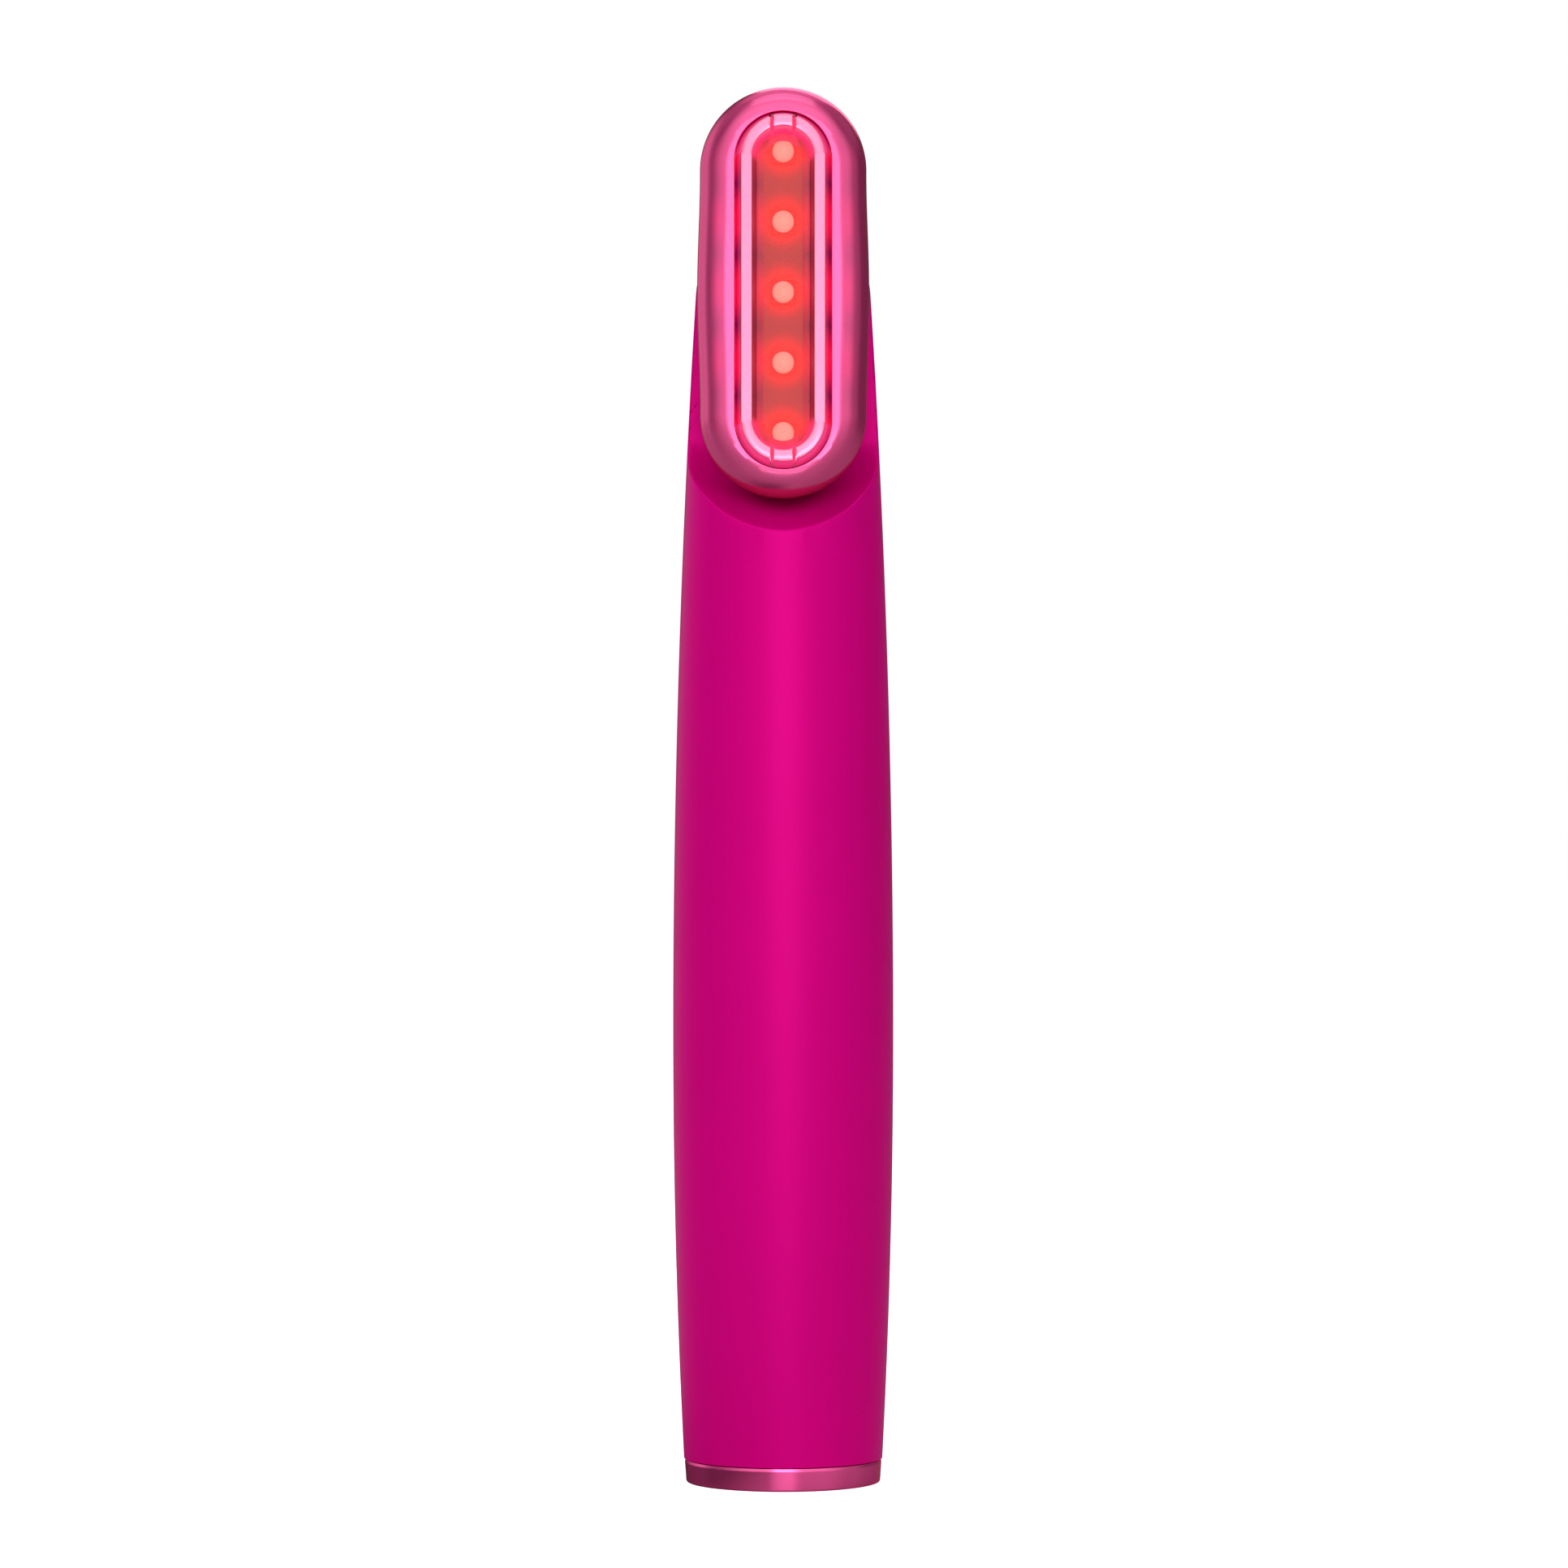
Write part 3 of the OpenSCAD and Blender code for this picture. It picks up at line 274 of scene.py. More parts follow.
def lacquer(name, base, metallic, rough, coat, spill=False):
    """Metallic lacquer with fine flake under a thin clear coat, red where the lights spill on it."""
    made, tree, place = new_finish(name)
    flake = noise(tree, place, 0.00009, 1.0)
    cloud = noise(tree, place, 0.006, 2.0)
    tone = blend(tree, spread(tree, flake, 0.0, 1.0), shade(base, 0.94), shade(base, 1.06))
    shader = finish(tree, Base_Color=tone, Metallic=metallic,
                    Roughness=spread(tree, cloud, rough - 0.02, rough + 0.02),
                    Specular_Tint=(1.0, 0.05, 0.4, 1.0), Coat_Weight=coat, Coat_Roughness=0.14, Coat_IOR=2.5,
                    Normal=bump(tree, flake, 0.05, 0.00001))
    if spill:
        s = sizes()
        across = add(tree, "ShaderNodeMath", {
            0: add(tree, "ShaderNodeSeparateXYZ", {"Vector": place}).outputs["X"]}, operation="ABSOLUTE")
        offset = add(tree, "ShaderNodeMath", {0: across.outputs[0], 1: s.spill_x}, operation="SUBTRACT")
        offset = add(tree, "ShaderNodeMath", {0: offset.outputs[0]}, operation="ABSOLUTE").outputs[0]
        band = add(tree, "ShaderNodeMapRange", {"Value": offset, "From Max": 0.0011, "To Min": 1.0,
                                                "To Max": 0.0}, interpolation_type="SMOOTHSTEP")
        along = height_over_pivot(tree, place)
        reach = add(tree, "ShaderNodeMath", {0: along}, operation="ABSOLUTE").outputs[0]
        side = spread(tree, reach, 1.0, 0.0, s.led_pitch * 1.2, s.led_pitch * 2.1)
        near = add(tree, "ShaderNodeMath", {0: pulse(tree, along, s.led_pitch, 0.8), 1: side},
                   operation="MULTIPLY").outputs[0]
        near = add(tree, "ShaderNodeMath", {0: near, 1: band.outputs["Result"]}, operation="MULTIPLY")
        red = blend(tree, near.outputs[0], (0.0, 0.0, 0.0), (0.24, 0.0, 0.02))
        tree.links.new(red, shader.inputs["Emission Color"])
        shader.inputs["Emission Strength"].default_value = 1.0
    return made


def contact_metal():
    """Plated ring: pale top faces, and rougher walls coloured with painted shade along the straight sides and
    painted light round the two ends, which also carry a painted pink glow.
    """
    made, tree, place = new_finish("contact_metal")
    flake = noise(tree, place, 0.00009, 1.0)
    cloud = noise(tree, place, 0.003, 2.0)
    facing = add(tree, "ShaderNodeSeparateXYZ", {
        "Vector": add(tree, "ShaderNodeTexCoord").outputs["Normal"]}).outputs["Y"]
    flat = spread(tree, facing, 1.0, 0.0, -0.85, -0.4)
    reach = add(tree, "ShaderNodeMath", {0: height_over_pivot(tree, place)}, operation="ABSOLUTE")
    end = spread(tree, reach.outputs[0], 0.0, 1.0, sizes().ring_half_l - 0.0004, sizes().ring_half_l + 0.0006)
    # Painted shade on the walls along the straight sides, painted light on the walls round the two ends.
    wall = blend(tree, end, (0.25, 0.001, 0.06), (1.0, 0.05, 0.27))
    tone = blend(tree, flat, wall, colours().ring)
    tone = blend(tree, spread(tree, flake, 0.0, 0.06), tone, (1.0, 0.5, 0.7))
    rough = add(tree, "ShaderNodeMapRange", {"Value": flat, "To Min": 0.42, "To Max": 0.2}).outputs["Result"]
    rough = add(tree, "ShaderNodeMath", {0: rough, 1: spread(tree, cloud, -0.02, 0.02)}, operation="ADD")
    metallic = add(tree, "ShaderNodeMapRange", {"Value": flat, "To Min": 0.5, "To Max": 1.0}).outputs["Result"]
    # Painted pink glow on the walls round the two ends.
    lit = add(tree, "ShaderNodeMath", {0: 1.0, 1: flat}, operation="SUBTRACT").outputs[0]
    lit = add(tree, "ShaderNodeMath", {0: lit, 1: end}, operation="MULTIPLY").outputs[0]
    finish(tree, Base_Color=tone, Metallic=metallic, Roughness=rough.outputs[0], Coat_Weight=0.8,
           Coat_Roughness=0.1, Coat_IOR=1.5, Normal=bump(tree, flake, 0.04, 0.00001),
           Emission_Color=blend(tree, lit, (0.0, 0.0, 0.0), (0.42, 0.02, 0.12)), Emission_Strength=1.0)
    return made


def moulded(name, base, rough=0.45, grain_size=0.0003):
    """Moulded plastic with a fine grain and slightly clouded colour."""
    made, tree, place = new_finish(name)
    grain = noise(tree, place, grain_size, 3.0)
    cloud = noise(tree, place, 0.004, 2.0)
    tone = blend(tree, spread(tree, cloud, 0.0, 1.0), shade(base, 0.92), shade(base, 1.05))
    finish(tree, Base_Color=tone, Roughness=spread(tree, grain, rough - 0.06, rough + 0.06),
           Normal=bump(tree, grain, 0.2, 0.00004))
    return made


def rubber(name, base):
    made, tree, place = new_finish(name)
    grain = noise(tree, place, 0.00025, 4.0)
    tone = blend(tree, spread(tree, grain, 0.0, 1.0), shade(base, 0.8), shade(base, 1.2))
    finish(tree, Base_Color=tone, Roughness=spread(tree, grain, 0.7, 0.85),
           Normal=bump(tree, grain, 0.4, 0.00005))
    return made


def metal(name, base, rough, stretch=(1.0, 1.0, 14.0)):
    """Bare metal with fine lines of turning or drawing along one axis."""
    made, tree, place = new_finish(name)
    lines = noise(tree, place, 0.0004, 4.0, stretch)
    tone = blend(tree, spread(tree, lines, 0.0, 1.0), shade(base, 0.85), shade(base, 1.08))
    finish(tree, Base_Color=tone, Metallic=1.0, Roughness=spread(tree, lines, rough - 0.06, rough + 0.08),
           Normal=bump(tree, lines, 0.15, 0.00001))
    return made


def laminate(name, base):
    """Circuit board with a solder mask and faint tracks under it."""
    made, tree, place = new_finish(name)
    track = add(tree, "ShaderNodeTexBrick", {"Vector": add(
        tree, "ShaderNodeMapping", {"Vector": place, "Rotation": (math.pi / 2, 0.0, 0.0)}
    ).outputs["Vector"], "Scale": 260.0, "Mortar Size": 0.03}).outputs["Fac"]
    grain = noise(tree, place, 0.0002, 3.0)
    tone = blend(tree, track, base, shade(base, 1.6))
    finish(tree, Base_Color=tone, Roughness=spread(tree, grain, 0.3, 0.45),
           Normal=bump(tree, track, 0.3, 0.00002))
    return made


def pulse(tree, along, pitch, sharpness):
    """1 beside each light and 0 half way between two lights."""
    turned = add(tree, "ShaderNodeMath", {0: along, 1: 2.0 * math.pi / pitch}, operation="MULTIPLY")
    wave = add(tree, "ShaderNodeMath", {0: turned.outputs[0]}, operation="COSINE")
    lifted = add(tree, "ShaderNodeMapRange", {"Value": wave.outputs[0], "From Min": -1.0,
                                              "From Max": 1.0}).outputs["Result"]
    return add(tree, "ShaderNodeMath", {0: lifted, 1: sharpness}, operation="POWER").outputs[0]


def height_over_pivot(tree, place):
    """Distance above the swivel axis, in metres."""
    z = add(tree, "ShaderNodeSeparateXYZ", {"Vector": place}).outputs["Z"]
    return add(tree, "ShaderNodeMath", {0: z, 1: sizes().pivot_z}, operation="SUBTRACT").outputs[0]


def from_light(tree, place):
    """Distance from the middle of the nearest light, in metres, seen from the front."""
    pitch = sizes().led_pitch
    x = add(tree, "ShaderNodeSeparateXYZ", {"Vector": place}).outputs["X"]
    along = add(tree, "ShaderNodeMath", {0: height_over_pivot(tree, place), 1: pitch / 2, 2: -pitch / 2},
                operation="WRAP").outputs[0]
    flat = add(tree, "ShaderNodeCombineXYZ", {"X": x, "Y": along}).outputs["Vector"]
    return add(tree, "ShaderNodeVectorMath", {0: flat}, operation="LENGTH").outputs["Value"]


def halo(tree, place, inner, outer):
    """1 within inner metres of a light, falling softly to 0 at outer metres."""
    return add(tree, "ShaderNodeMapRange", {"Value": from_light(tree, place), "From Min": inner,
                                            "From Max": outer, "To Min": 1.0, "To Max": 0.0},
               interpolation_type="SMOOTHSTEP").outputs["Result"]


def window_plastic():
    """Clear red plastic, lit most where a light stands behind it."""
    made, tree, place = new_finish("window_plastic")
    light = blend(tree, halo(tree, place, 0.0012, 0.0037), (0.31, 0.055, 0.055), (0.93, 0.04, 0.035))
    ripple = noise(tree, place, 0.0012, 2.0)
    finish(tree, Base_Color=colours().window, Roughness=0.12, IOR=1.2, Alpha=0.4,
           Emission_Color=light, Emission_Strength=0.9,
           Normal=bump(tree, ripple, 0.02, 0.0001))
    return made


def light_lens():
    """Milky lens, brightest in its middle, on a dark red base."""
    made, tree, place = new_finish("light_lens")
    tone = blend(tree, halo(tree, place, 0.0001, 0.0013), shade(colours().light, 0.76), colours().light)
    cloud = noise(tree, place, 0.0005, 2.0)
    tone = blend(tree, spread(tree, cloud, 0.0, 0.12), tone, (1.0, 0.8, 0.7))
    step = sizes().led_board_drop - sizes().led_base_h
    front = head_place().translation.y - (sizes().head_gap + sizes().head_depth - step)
    depth = add(tree, "ShaderNodeSeparateXYZ", {"Vector": place}).outputs["Y"]
    lens = add(tree, "ShaderNodeMapRange", {"Value": depth, "From Min": front - 0.00012,
                                            "From Max": front - 0.00008, "To Min": 1.0, "To Max": 0.0})
    glow = blend(tree, lens.outputs["Result"], (0.5, 0.01, 0.01), tone)
    finish(tree, Base_Color=glow, Roughness=0.25, Emission_Color=glow, Emission_Strength=1.05)
    return made


def red_carrier():
    """Translucent red plastic, lit beside each light and dark between two and round the ends."""
    made, tree, place = new_finish("carrier_plastic")
    along = height_over_pivot(tree, place)
    near = pulse(tree, along, sizes().led_pitch, 0.6)
    reach = add(tree, "ShaderNodeMath", {0: along}, operation="ABSOLUTE").outputs[0]
    side = add(tree, "ShaderNodeMapRange", {"Value": reach, "From Min": sizes().ring_half_l + 0.0004,
                                            "From Max": sizes().ring_half_l + 0.002,
                                            "To Min": 1.0, "To Max": 0.0}).outputs["Result"]
    lit = add(tree, "ShaderNodeMath", {0: near, 1: side}, operation="MULTIPLY").outputs[0]
    light = blend(tree, lit, (0.14, 0.0, 0.04), colours().glow)
    # Painted crimson glow where the carrier shows in the slits beside the two blocks.
    across = add(tree, "ShaderNodeMath", {
        0: add(tree, "ShaderNodeSeparateXYZ", {"Vector": place}).outputs["X"]}, operation="ABSOLUTE").outputs[0]
    slit = add(tree, "ShaderNodeMath", {0: across, 1: sizes().block_half_w + 2.0 * sizes().block_slit},
               operation="LESS_THAN").outputs[0]
    under = add(tree, "ShaderNodeMath", {0: reach, 1: sizes().ring_half_l + sizes().ring_out_r},
                operation="LESS_THAN").outputs[0]
    slit = add(tree, "ShaderNodeMath", {0: slit, 1: under}, operation="MULTIPLY").outputs[0]
    light = blend(tree, slit, light, (0.75, 0.01, 0.12))
    grain = noise(tree, place, 0.0004, 2.0)
    finish(tree, Base_Color=blend(tree, grain, (0.20, 0.0, 0.02), (0.26, 0.0, 0.03)), Roughness=0.35,
           Emission_Color=light, Emission_Strength=0.9)
    return made


def lit_board():
    """Light board: dark red laminate, lit round each light."""
    made, tree, place = new_finish("led_laminate")
    grain = noise(tree, place, 0.0002, 3.0)
    base = blend(tree, grain, (0.20, 0.01, 0.01), (0.28, 0.015, 0.012))
    glow = blend(tree, halo(tree, place, 0.0012, 0.0037), (0.34, 0.05, 0.05), (0.95, 0.04, 0.03))
    finish(tree, Base_Color=base, Roughness=0.4, Emission_Color=glow, Emission_Strength=0.9,
           Normal=bump(tree, grain, 0.2, 0.00002))
    return made


def make_finishes():
    """One material for each material slot of the record."""
    c = colours()
    return {
        "body_plastic": satin_body(),
        "head_plating": lacquer("head_plating", c.head, 0.74, 0.24, 0.26, True),
        "cap_metal": lacquer("cap_metal", c.cap, 0.85, 0.2, 0.3),
        "contact_metal": contact_metal(),
        "window_plastic": window_plastic(),
        "light_lens": light_lens(),
        "carrier_plastic": red_carrier(),
        "inner_plastic": moulded("inner_plastic", (0.70, 0.70, 0.68)),
        "black_plastic": moulded("black_plastic", (0.02, 0.02, 0.022), 0.5),
        "wire_sleeve": rubber("wire_sleeve", (0.03, 0.03, 0.033)),
        "seal_rubber": rubber("seal_rubber", (0.035, 0.033, 0.036)),
        "pad_foam": rubber("pad_foam", (0.02, 0.02, 0.022)),
        "board_laminate": laminate("board_laminate", (0.01, 0.16, 0.06)),
        "led_laminate": lit_board(),
        "steel": metal("steel", (0.62, 0.62, 0.64), 0.25),
        "nickel": metal("nickel", (0.66, 0.63, 0.58), 0.22),
        "gold": metal("gold", (0.90, 0.60, 0.20), 0.2),
        "weight_metal": metal("weight_metal", (0.45, 0.36, 0.20), 0.35, (1.0, 1.0, 0.1)),
        "cell_wrap": moulded("cell_wrap", (0.03, 0.12, 0.34), 0.3),
        "bush_plastic": moulded("bush_plastic", (0.62, 0.56, 0.34)),
        "lens_clear": moulded("lens_clear", (0.80, 0.80, 0.76), 0.3),
    }


class WAND_OT_finishes(bpy.types.Operator):
    """Gives every CAD node the finish of its material slot"""

    bl_idname = "wand.finishes"
    bl_label = "Finishes"

    def execute(self, context):
        finishes = make_finishes()
        for entry in frame["record"]["subparts"]:
            obj = NODES[entry["node"]]
            if not obj.material_slots:
                obj.data.materials.append(None)
            for place in obj.material_slots:
                place.material = finishes[entry["material_slot"]]
        return {"FINISHED"}


def finish_of(slot):
    """The finish that the CAD nodes of a slot carry."""
    for entry in frame["record"]["subparts"]:
        if entry["material_slot"] == slot:
            return NODES[entry["node"]].material_slots[0].material
    raise KeyError(slot)


# Shaping

def to_object_mode():
    if bpy.context.object and bpy.context.object.mode != "OBJECT":
        bpy.ops.object.mode_set(mode="OBJECT")


def only(obj):
    """Selects one object and makes it active."""
    to_object_mode()
    bpy.ops.object.select_all(action="DESELECT")
    bpy.context.view_layer.objects.active = obj
    obj.select_set(True)


def edit(obj):
    only(obj)
    bpy.ops.object.mode_set(mode="EDIT")


def pick(obj, kind, test):
    """In edit mode, selects only the vertices, edges or faces that pass a test."""
    mode = {"verts": "VERT", "edges": "EDGE", "faces": "FACE"}[kind]
    bpy.ops.mesh.select_mode(type=mode)
    bpy.ops.mesh.select_all(action="DESELECT")
    mesh = bmesh.from_edit_mesh(obj.data)
    found = 0
    for item in getattr(mesh, kind):
        if test(item):
            item.select_set(True)
            found += 1
    mesh.select_flush_mode()
    bmesh.update_edit_mesh(obj.data)
    return found


def add_circle(name, sides, radius, height=0.0, turn=0.0):
    """A bare ring of edges about Z, open for editing, all selected."""
    to_object_mode()
    bpy.ops.object.select_all(action="DESELECT")
    bpy.ops.mesh.primitive_circle_add(vertices=sides, radius=radius, location=(0.0, 0.0, height),
                                      rotation=(0.0, 0.0, turn), fill_type="NOTHING")
    made = bpy.context.object
    made.name = name
    bpy.ops.object.transform_apply(location=True, rotation=True, scale=True)
    bpy.ops.object.mode_set(mode="EDIT")
    bpy.ops.mesh.select_all(action="SELECT")
    return made


def pull(offset):
    """Extrudes the selected edges by an offset, which leaves the new ones selected."""
    bpy.ops.mesh.extrude_edges_move(TRANSFORM_OT_translate={"value": offset})


def close_ring(obj, test):
    """Fills the open ring of edges whose vertices pass a test with one flat face."""
    pick(obj, "edges", lambda e: e.is_boundary and all(test(v.co) for v in e.verts))
    bpy.ops.mesh.edge_face_add()


def tidy_normals():
    bpy.ops.mesh.select_all(action="SELECT")
    bpy.ops.mesh.remove_doubles(threshold=1e-7)
    bpy.ops.mesh.normals_make_consistent(inside=False)


def lathe(name, profile, sides, depth=1.0):
    """A closed solid turned about Z from (radius, height) points, squeezed in depth along Y."""
    radius, height = profile[0]
    made = add_circle(name, sides, radius, height)
    for new_radius, new_height in profile[1:]:
        pull((0.0, 0.0, new_height - height))
        if new_radius <= 0.0:
            bpy.ops.mesh.merge(type="CENTER")
            break
        grow = new_radius / radius
        bpy.ops.transform.resize(value=(grow, grow, 1.0), center_override=(0.0, 0.0, new_height))
        radius, height = new_radius, new_height
    else:
        bpy.ops.mesh.edge_face_add()
    first = profile[0][1]
    close_ring(made, lambda co: abs(co.z - first) < 1e-7)
    bpy.ops.mesh.select_all(action="SELECT")
    bpy.ops.transform.resize(value=(1.0, depth, 1.0), center_override=(0.0, 0.0, 0.0))
    tidy_normals()
    bpy.ops.object.mode_set(mode="OBJECT")
    return made


def stadium(name, radius, half_l, level, arc=96):
    """An open pill-shaped ring of edges in the XY plane, its straight sides along Y, all selected."""
    made = add_circle(name, arc, radius / math.cos(math.pi / arc), level, math.pi / arc)
    for side in (1.0, -1.0):
        pick(made, "verts", lambda v: v.co.y * side > 0.0)
        bpy.ops.transform.translate(value=(0.0, side * half_l, 0.0))
    bpy.ops.mesh.select_all(action="SELECT")
    return made


def pull_pill(obj, half_l, radius, new_radius, level, new_level):
    """Extrudes the selected pill-shaped ring to a new level and a new radius."""
    pull((0.0, 0.0, new_level - level))
    if new_radius == radius:
        return
    ring = {v.index for v in bmesh.from_edit_mesh(obj.data).verts if v.select}
    grow = new_radius / radius
    for side in (1.0, -1.0):
        pick(obj, "verts", lambda v: v.index in ring and v.co.y * side >= half_l)
        bpy.ops.transform.resize(value=(grow, grow, 1.0), center_override=(0.0, side * half_l, new_level))
    if pick(obj, "verts", lambda v: v.index in ring and abs(v.co.y) < half_l):
        bpy.ops.transform.resize(value=(grow, 1.0, 1.0), center_override=(0.0, 0.0, new_level))
    pick(obj, "verts", lambda v: v.index in ring)


def pill_block(name, radius, half_l, low, high, arc=96):
    """A closed pill-shaped block between two levels."""
    made = stadium(name, radius, half_l, low, arc)
    bpy.ops.mesh.edge_face_add()
    bpy.ops.mesh.extrude_region_move(TRANSFORM_OT_translate={"value": (0.0, 0.0, high - low)})
    tidy_normals()
    bpy.ops.object.mode_set(mode="OBJECT")
    return made


def block(name, low, high):
    """A closed box between two corners, for cutting."""
    to_object_mode()
    bpy.ops.object.select_all(action="DESELECT")
    low, high = Vector(low), Vector(high)
    bpy.ops.mesh.primitive_cube_add(size=1.0, location=(low + high) / 2, scale=high - low)
    bpy.ops.object.transform_apply(location=True, rotation=True, scale=True)
    bpy.context.object.name = name
    return bpy.context.object


def put(obj, matrix):
    """Moves a finished shape to its place and leaves the place in its mesh."""
    only(obj)
    obj.matrix_world = matrix
    bpy.ops.object.transform_apply(location=True, rotation=True, scale=True)


def cut(obj, tool, operation="DIFFERENCE", keep=False):
    """Cuts one solid by another with an applied Boolean."""
    only(obj)
    bpy.ops.object.modifier_add(type="BOOLEAN")
    step = obj.modifiers[-1]
    step.operation = operation
    step.object = tool
    step.solver = "EXACT"
    bpy.ops.object.modifier_apply(modifier=step.name)
    if not keep:
        bpy.data.objects.remove(tool)


def copy_of(obj, name):
    only(obj)
    bpy.ops.object.duplicate()
    bpy.context.object.name = name
    return bpy.context.object


def clear_way(obj, wanted, reach):
    """Dissolves the points of an open mesh that lie too near the edges about to be bevelled."""
    mesh = bmesh.from_edit_mesh(obj.data)
    rim = {v.index: v.co for e in mesh.edges if wanted(e) for v in e.verts}
    near = KDTree(len(rim))
    for index, co in rim.items():
        near.insert(co, index)
    near.balance()
    if pick(obj, "verts", lambda v: v.index not in rim and near.find(v.co)[2] < reach):
        bpy.ops.mesh.dissolve_verts()


def soften(obj, test, width, steps=2, least=0.0):
    """Bevels the sharp edges that pass a test of their middle, after merging their tiny gaps."""
    edit(obj)

    def wanted(e):
        if len(e.link_faces) != 2 or e.calc_face_angle() < math.radians(20.0):
            return False
        return test((e.verts[0].co + e.verts[1].co) / 2)

    if least:
        pick(obj, "edges", wanted)
        bpy.ops.mesh.remove_doubles(threshold=least)
        clear_way(obj, wanted, 1.4 * width)
    if not pick(obj, "edges", wanted):
        raise RuntimeError(f"{obj.name} has no edge to soften")
    bpy.ops.mesh.bevel(offset=width, segments=steps, profile=0.5, clamp_overlap=False)
    bpy.ops.object.mode_set(mode="OBJECT")


def done(obj, name, body, slot, replaced, angle=25.0):
    """Smooths a piece, gives it the finish of its slot, puts it under its body, and hides the nodes it stands
    for.
    """
    obj.name = name
    obj.data.name = name
    only(obj)
    bpy.ops.object.shade_smooth_by_angle(angle=math.radians(angle))
    bpy.ops.object.modifier_add(type="WEIGHTED_NORMAL")
    step = obj.modifiers[-1]
    step.keep_sharp = True
    step.weight = 60
    bpy.ops.object.modifier_apply(modifier=step.name)
    obj.data.materials.clear()
    obj.data.materials.append(finish_of(slot))
    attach(obj, body)
    if replaced:
        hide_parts(*replaced)
    return obj


# Pieces

def half_width(z):
    """Half width of the handle at a height."""
    s = sizes()
    radius = s.bow_high_r if z > s.belly_z else s.bow_low_r
    return s.handle_half_w - radius + math.sqrt(radius ** 2 - (z - s.belly_z) ** 2)


def handle_profile(inset, low, steps=(26, 44, 22)):
    """Radius and height points of the handle: lower curve, upper curve and round top."""
    s = sizes()
    low_r = s.bow_low_r - inset
    high_r = s.bow_high_r - inset
    low_x = s.handle_half_w - s.bow_low_r
    high_x = s.handle_half_w - s.bow_high_r
    top_r = s.bow_high_r - math.hypot(high_x, s.pivot_z - s.belly_z) - inset
    turn = math.atan((s.pivot_z - s.belly_z) / -high_x)
    start = math.asin((low - s.belly_z) / low_r)
    points = []
    for i in range(steps[0]):
        a = start * (1.0 - i / steps[0])
        points.append((low_x + low_r * math.cos(a), s.belly_z + low_r * math.sin(a)))
    for i in range(steps[1] + 1):
        a = turn * i / steps[1]
        points.append((high_x + high_r * math.cos(a), s.belly_z + high_r * math.sin(a)))
    for i in range(1, steps[2]):
        a = turn + (math.pi / 2 - turn) * i / steps[2]
        points.append((top_r * math.cos(a), s.pivot_z + top_r * math.sin(a)))
    points.append((0.0, s.pivot_z + top_r))
    return points


def inner_ratio():
    s = sizes()
    return (s.depth_ratio * s.handle_half_w - s.shell_t) / (s.handle_half_w - s.shell_t)


def head_place():
    """Frame of the head: X to the right, Y up and Z out of the neck towards the front."""
    s = sizes()
    neck_y = s.depth_ratio * half_width(s.pivot_z) - s.neck_t
    return Matrix.Translation((0.0, neck_y, s.pivot_z)) @ Matrix.Rotation(math.pi / 2, 4, "X")


def scoop(name, grow):
    """The solid that the turning head sweeps, with its gap, as a cutter."""
    s = sizes()
    radius = s.head_gap + s.head_back_r + grow
    middle = (s.head_l / 2 - s.head_back_r, s.head_gap + s.head_back_r)
    points = [(0.006, -grow), (0.012, -grow)]
    for i in range(13):
        a = s.dish_slope * i / 12
        points.append((middle[0] + radius * math.sin(a), middle[1] - radius * math.cos(a)))
    reach = 0.016
    edge = points[-1]
    points.append((edge[0] + reach * math.cos(s.dish_slope), edge[1] + reach * math.sin(s.dish_slope)))
    made = lathe(name, points, 192)
    put(made, head_place())
    return made


class WAND_OT_shells(bpy.types.Operator):
    """Builds the front shell with its scoop and the rear shell with the button's opening"""

    bl_idname = "wand.shells"
    bl_label = "Handle Shells"

    def execute(self, context):
        s = sizes()
        low = s.cap_h + s.cap_gap
        body = lathe("shells", handle_profile(0.0, low), 144, s.depth_ratio)
        cut(body, scoop("scoop", 0.0))
        soften(body, lambda co: co.z > 0.1, s.rim, 3, 0.00012)
        room = lathe("room", handle_profile(s.shell_t, -0.001, (10, 20, 12)), 96, inner_ratio())
        cut(room, scoop("scoop", s.neck_wall))
        cut(body, room)
        bush = lathe("bush_hole", [(s.bush_r, -0.005), (s.bush_r, 0.01)], 48)
        put(bush, head_place())
        cut(body, bush)

        rear = copy_of(body, "rear")
        cut(body, block("front_half", (-0.05, -0.05, -0.01), (0.05, s.parting_y, 0.2)), "INTERSECT")
        cut(rear, block("rear_half", (-0.05, -0.05, -0.01), (0.05, s.parting_y, 0.2)))
        turn = Matrix.Rotation(math.pi / 2, 4, "X")
        opening = pill_block("opening", s.button_w / 2 + s.button_clear,
                             (s.button_l - s.button_w) / 2, -0.03, -s.parting_y - 0.001, 64)
        put(opening, Matrix.Translation((0.0, 0.0, s.button_z)) @ turn)
        cut(rear, opening)
        light = lathe("light_hole", [(s.indicator_d / 2, -0.03), (s.indicator_d / 2, -s.parting_y)], 40)
        put(light, Matrix.Translation((0.0, 0.0, s.indicator_z)) @ turn)
        cut(rear, light)

        def on_seam(co):
            outside = math.hypot(co.x, co.y / s.depth_ratio) > half_width(co.z) - 0.0002
            return abs(co.y - s.parting_y) < 1e-6 and outside and co.z < s.pivot_z

        for piece, name in ((body, "handle_front"), (rear, "handle_rear")):
            soften(piece, on_seam, s.seam, 2)
        done(body, "handle_front", "handle", "body_plastic", ["front_shell"])
        done(rear, "handle_rear", "handle", "body_plastic", ["rear_shell"])
        return {"FINISHED"}


def pill_reach(co, half_l):
    """Distance of a point from the middle line of a pill shape."""
    return math.hypot(co.x, max(0.0, abs(co.y) - half_l))


def pull_through(obj, half_l, profile):
    """Pulls an open pill-shaped ring through its (radius, level) points."""
    radius, level = profile[0]
    for new_radius, new_level in profile[1:]:
        pull_pill(obj, half_l, radius, new_radius, level, new_level)
        radius, level = new_radius, new_level


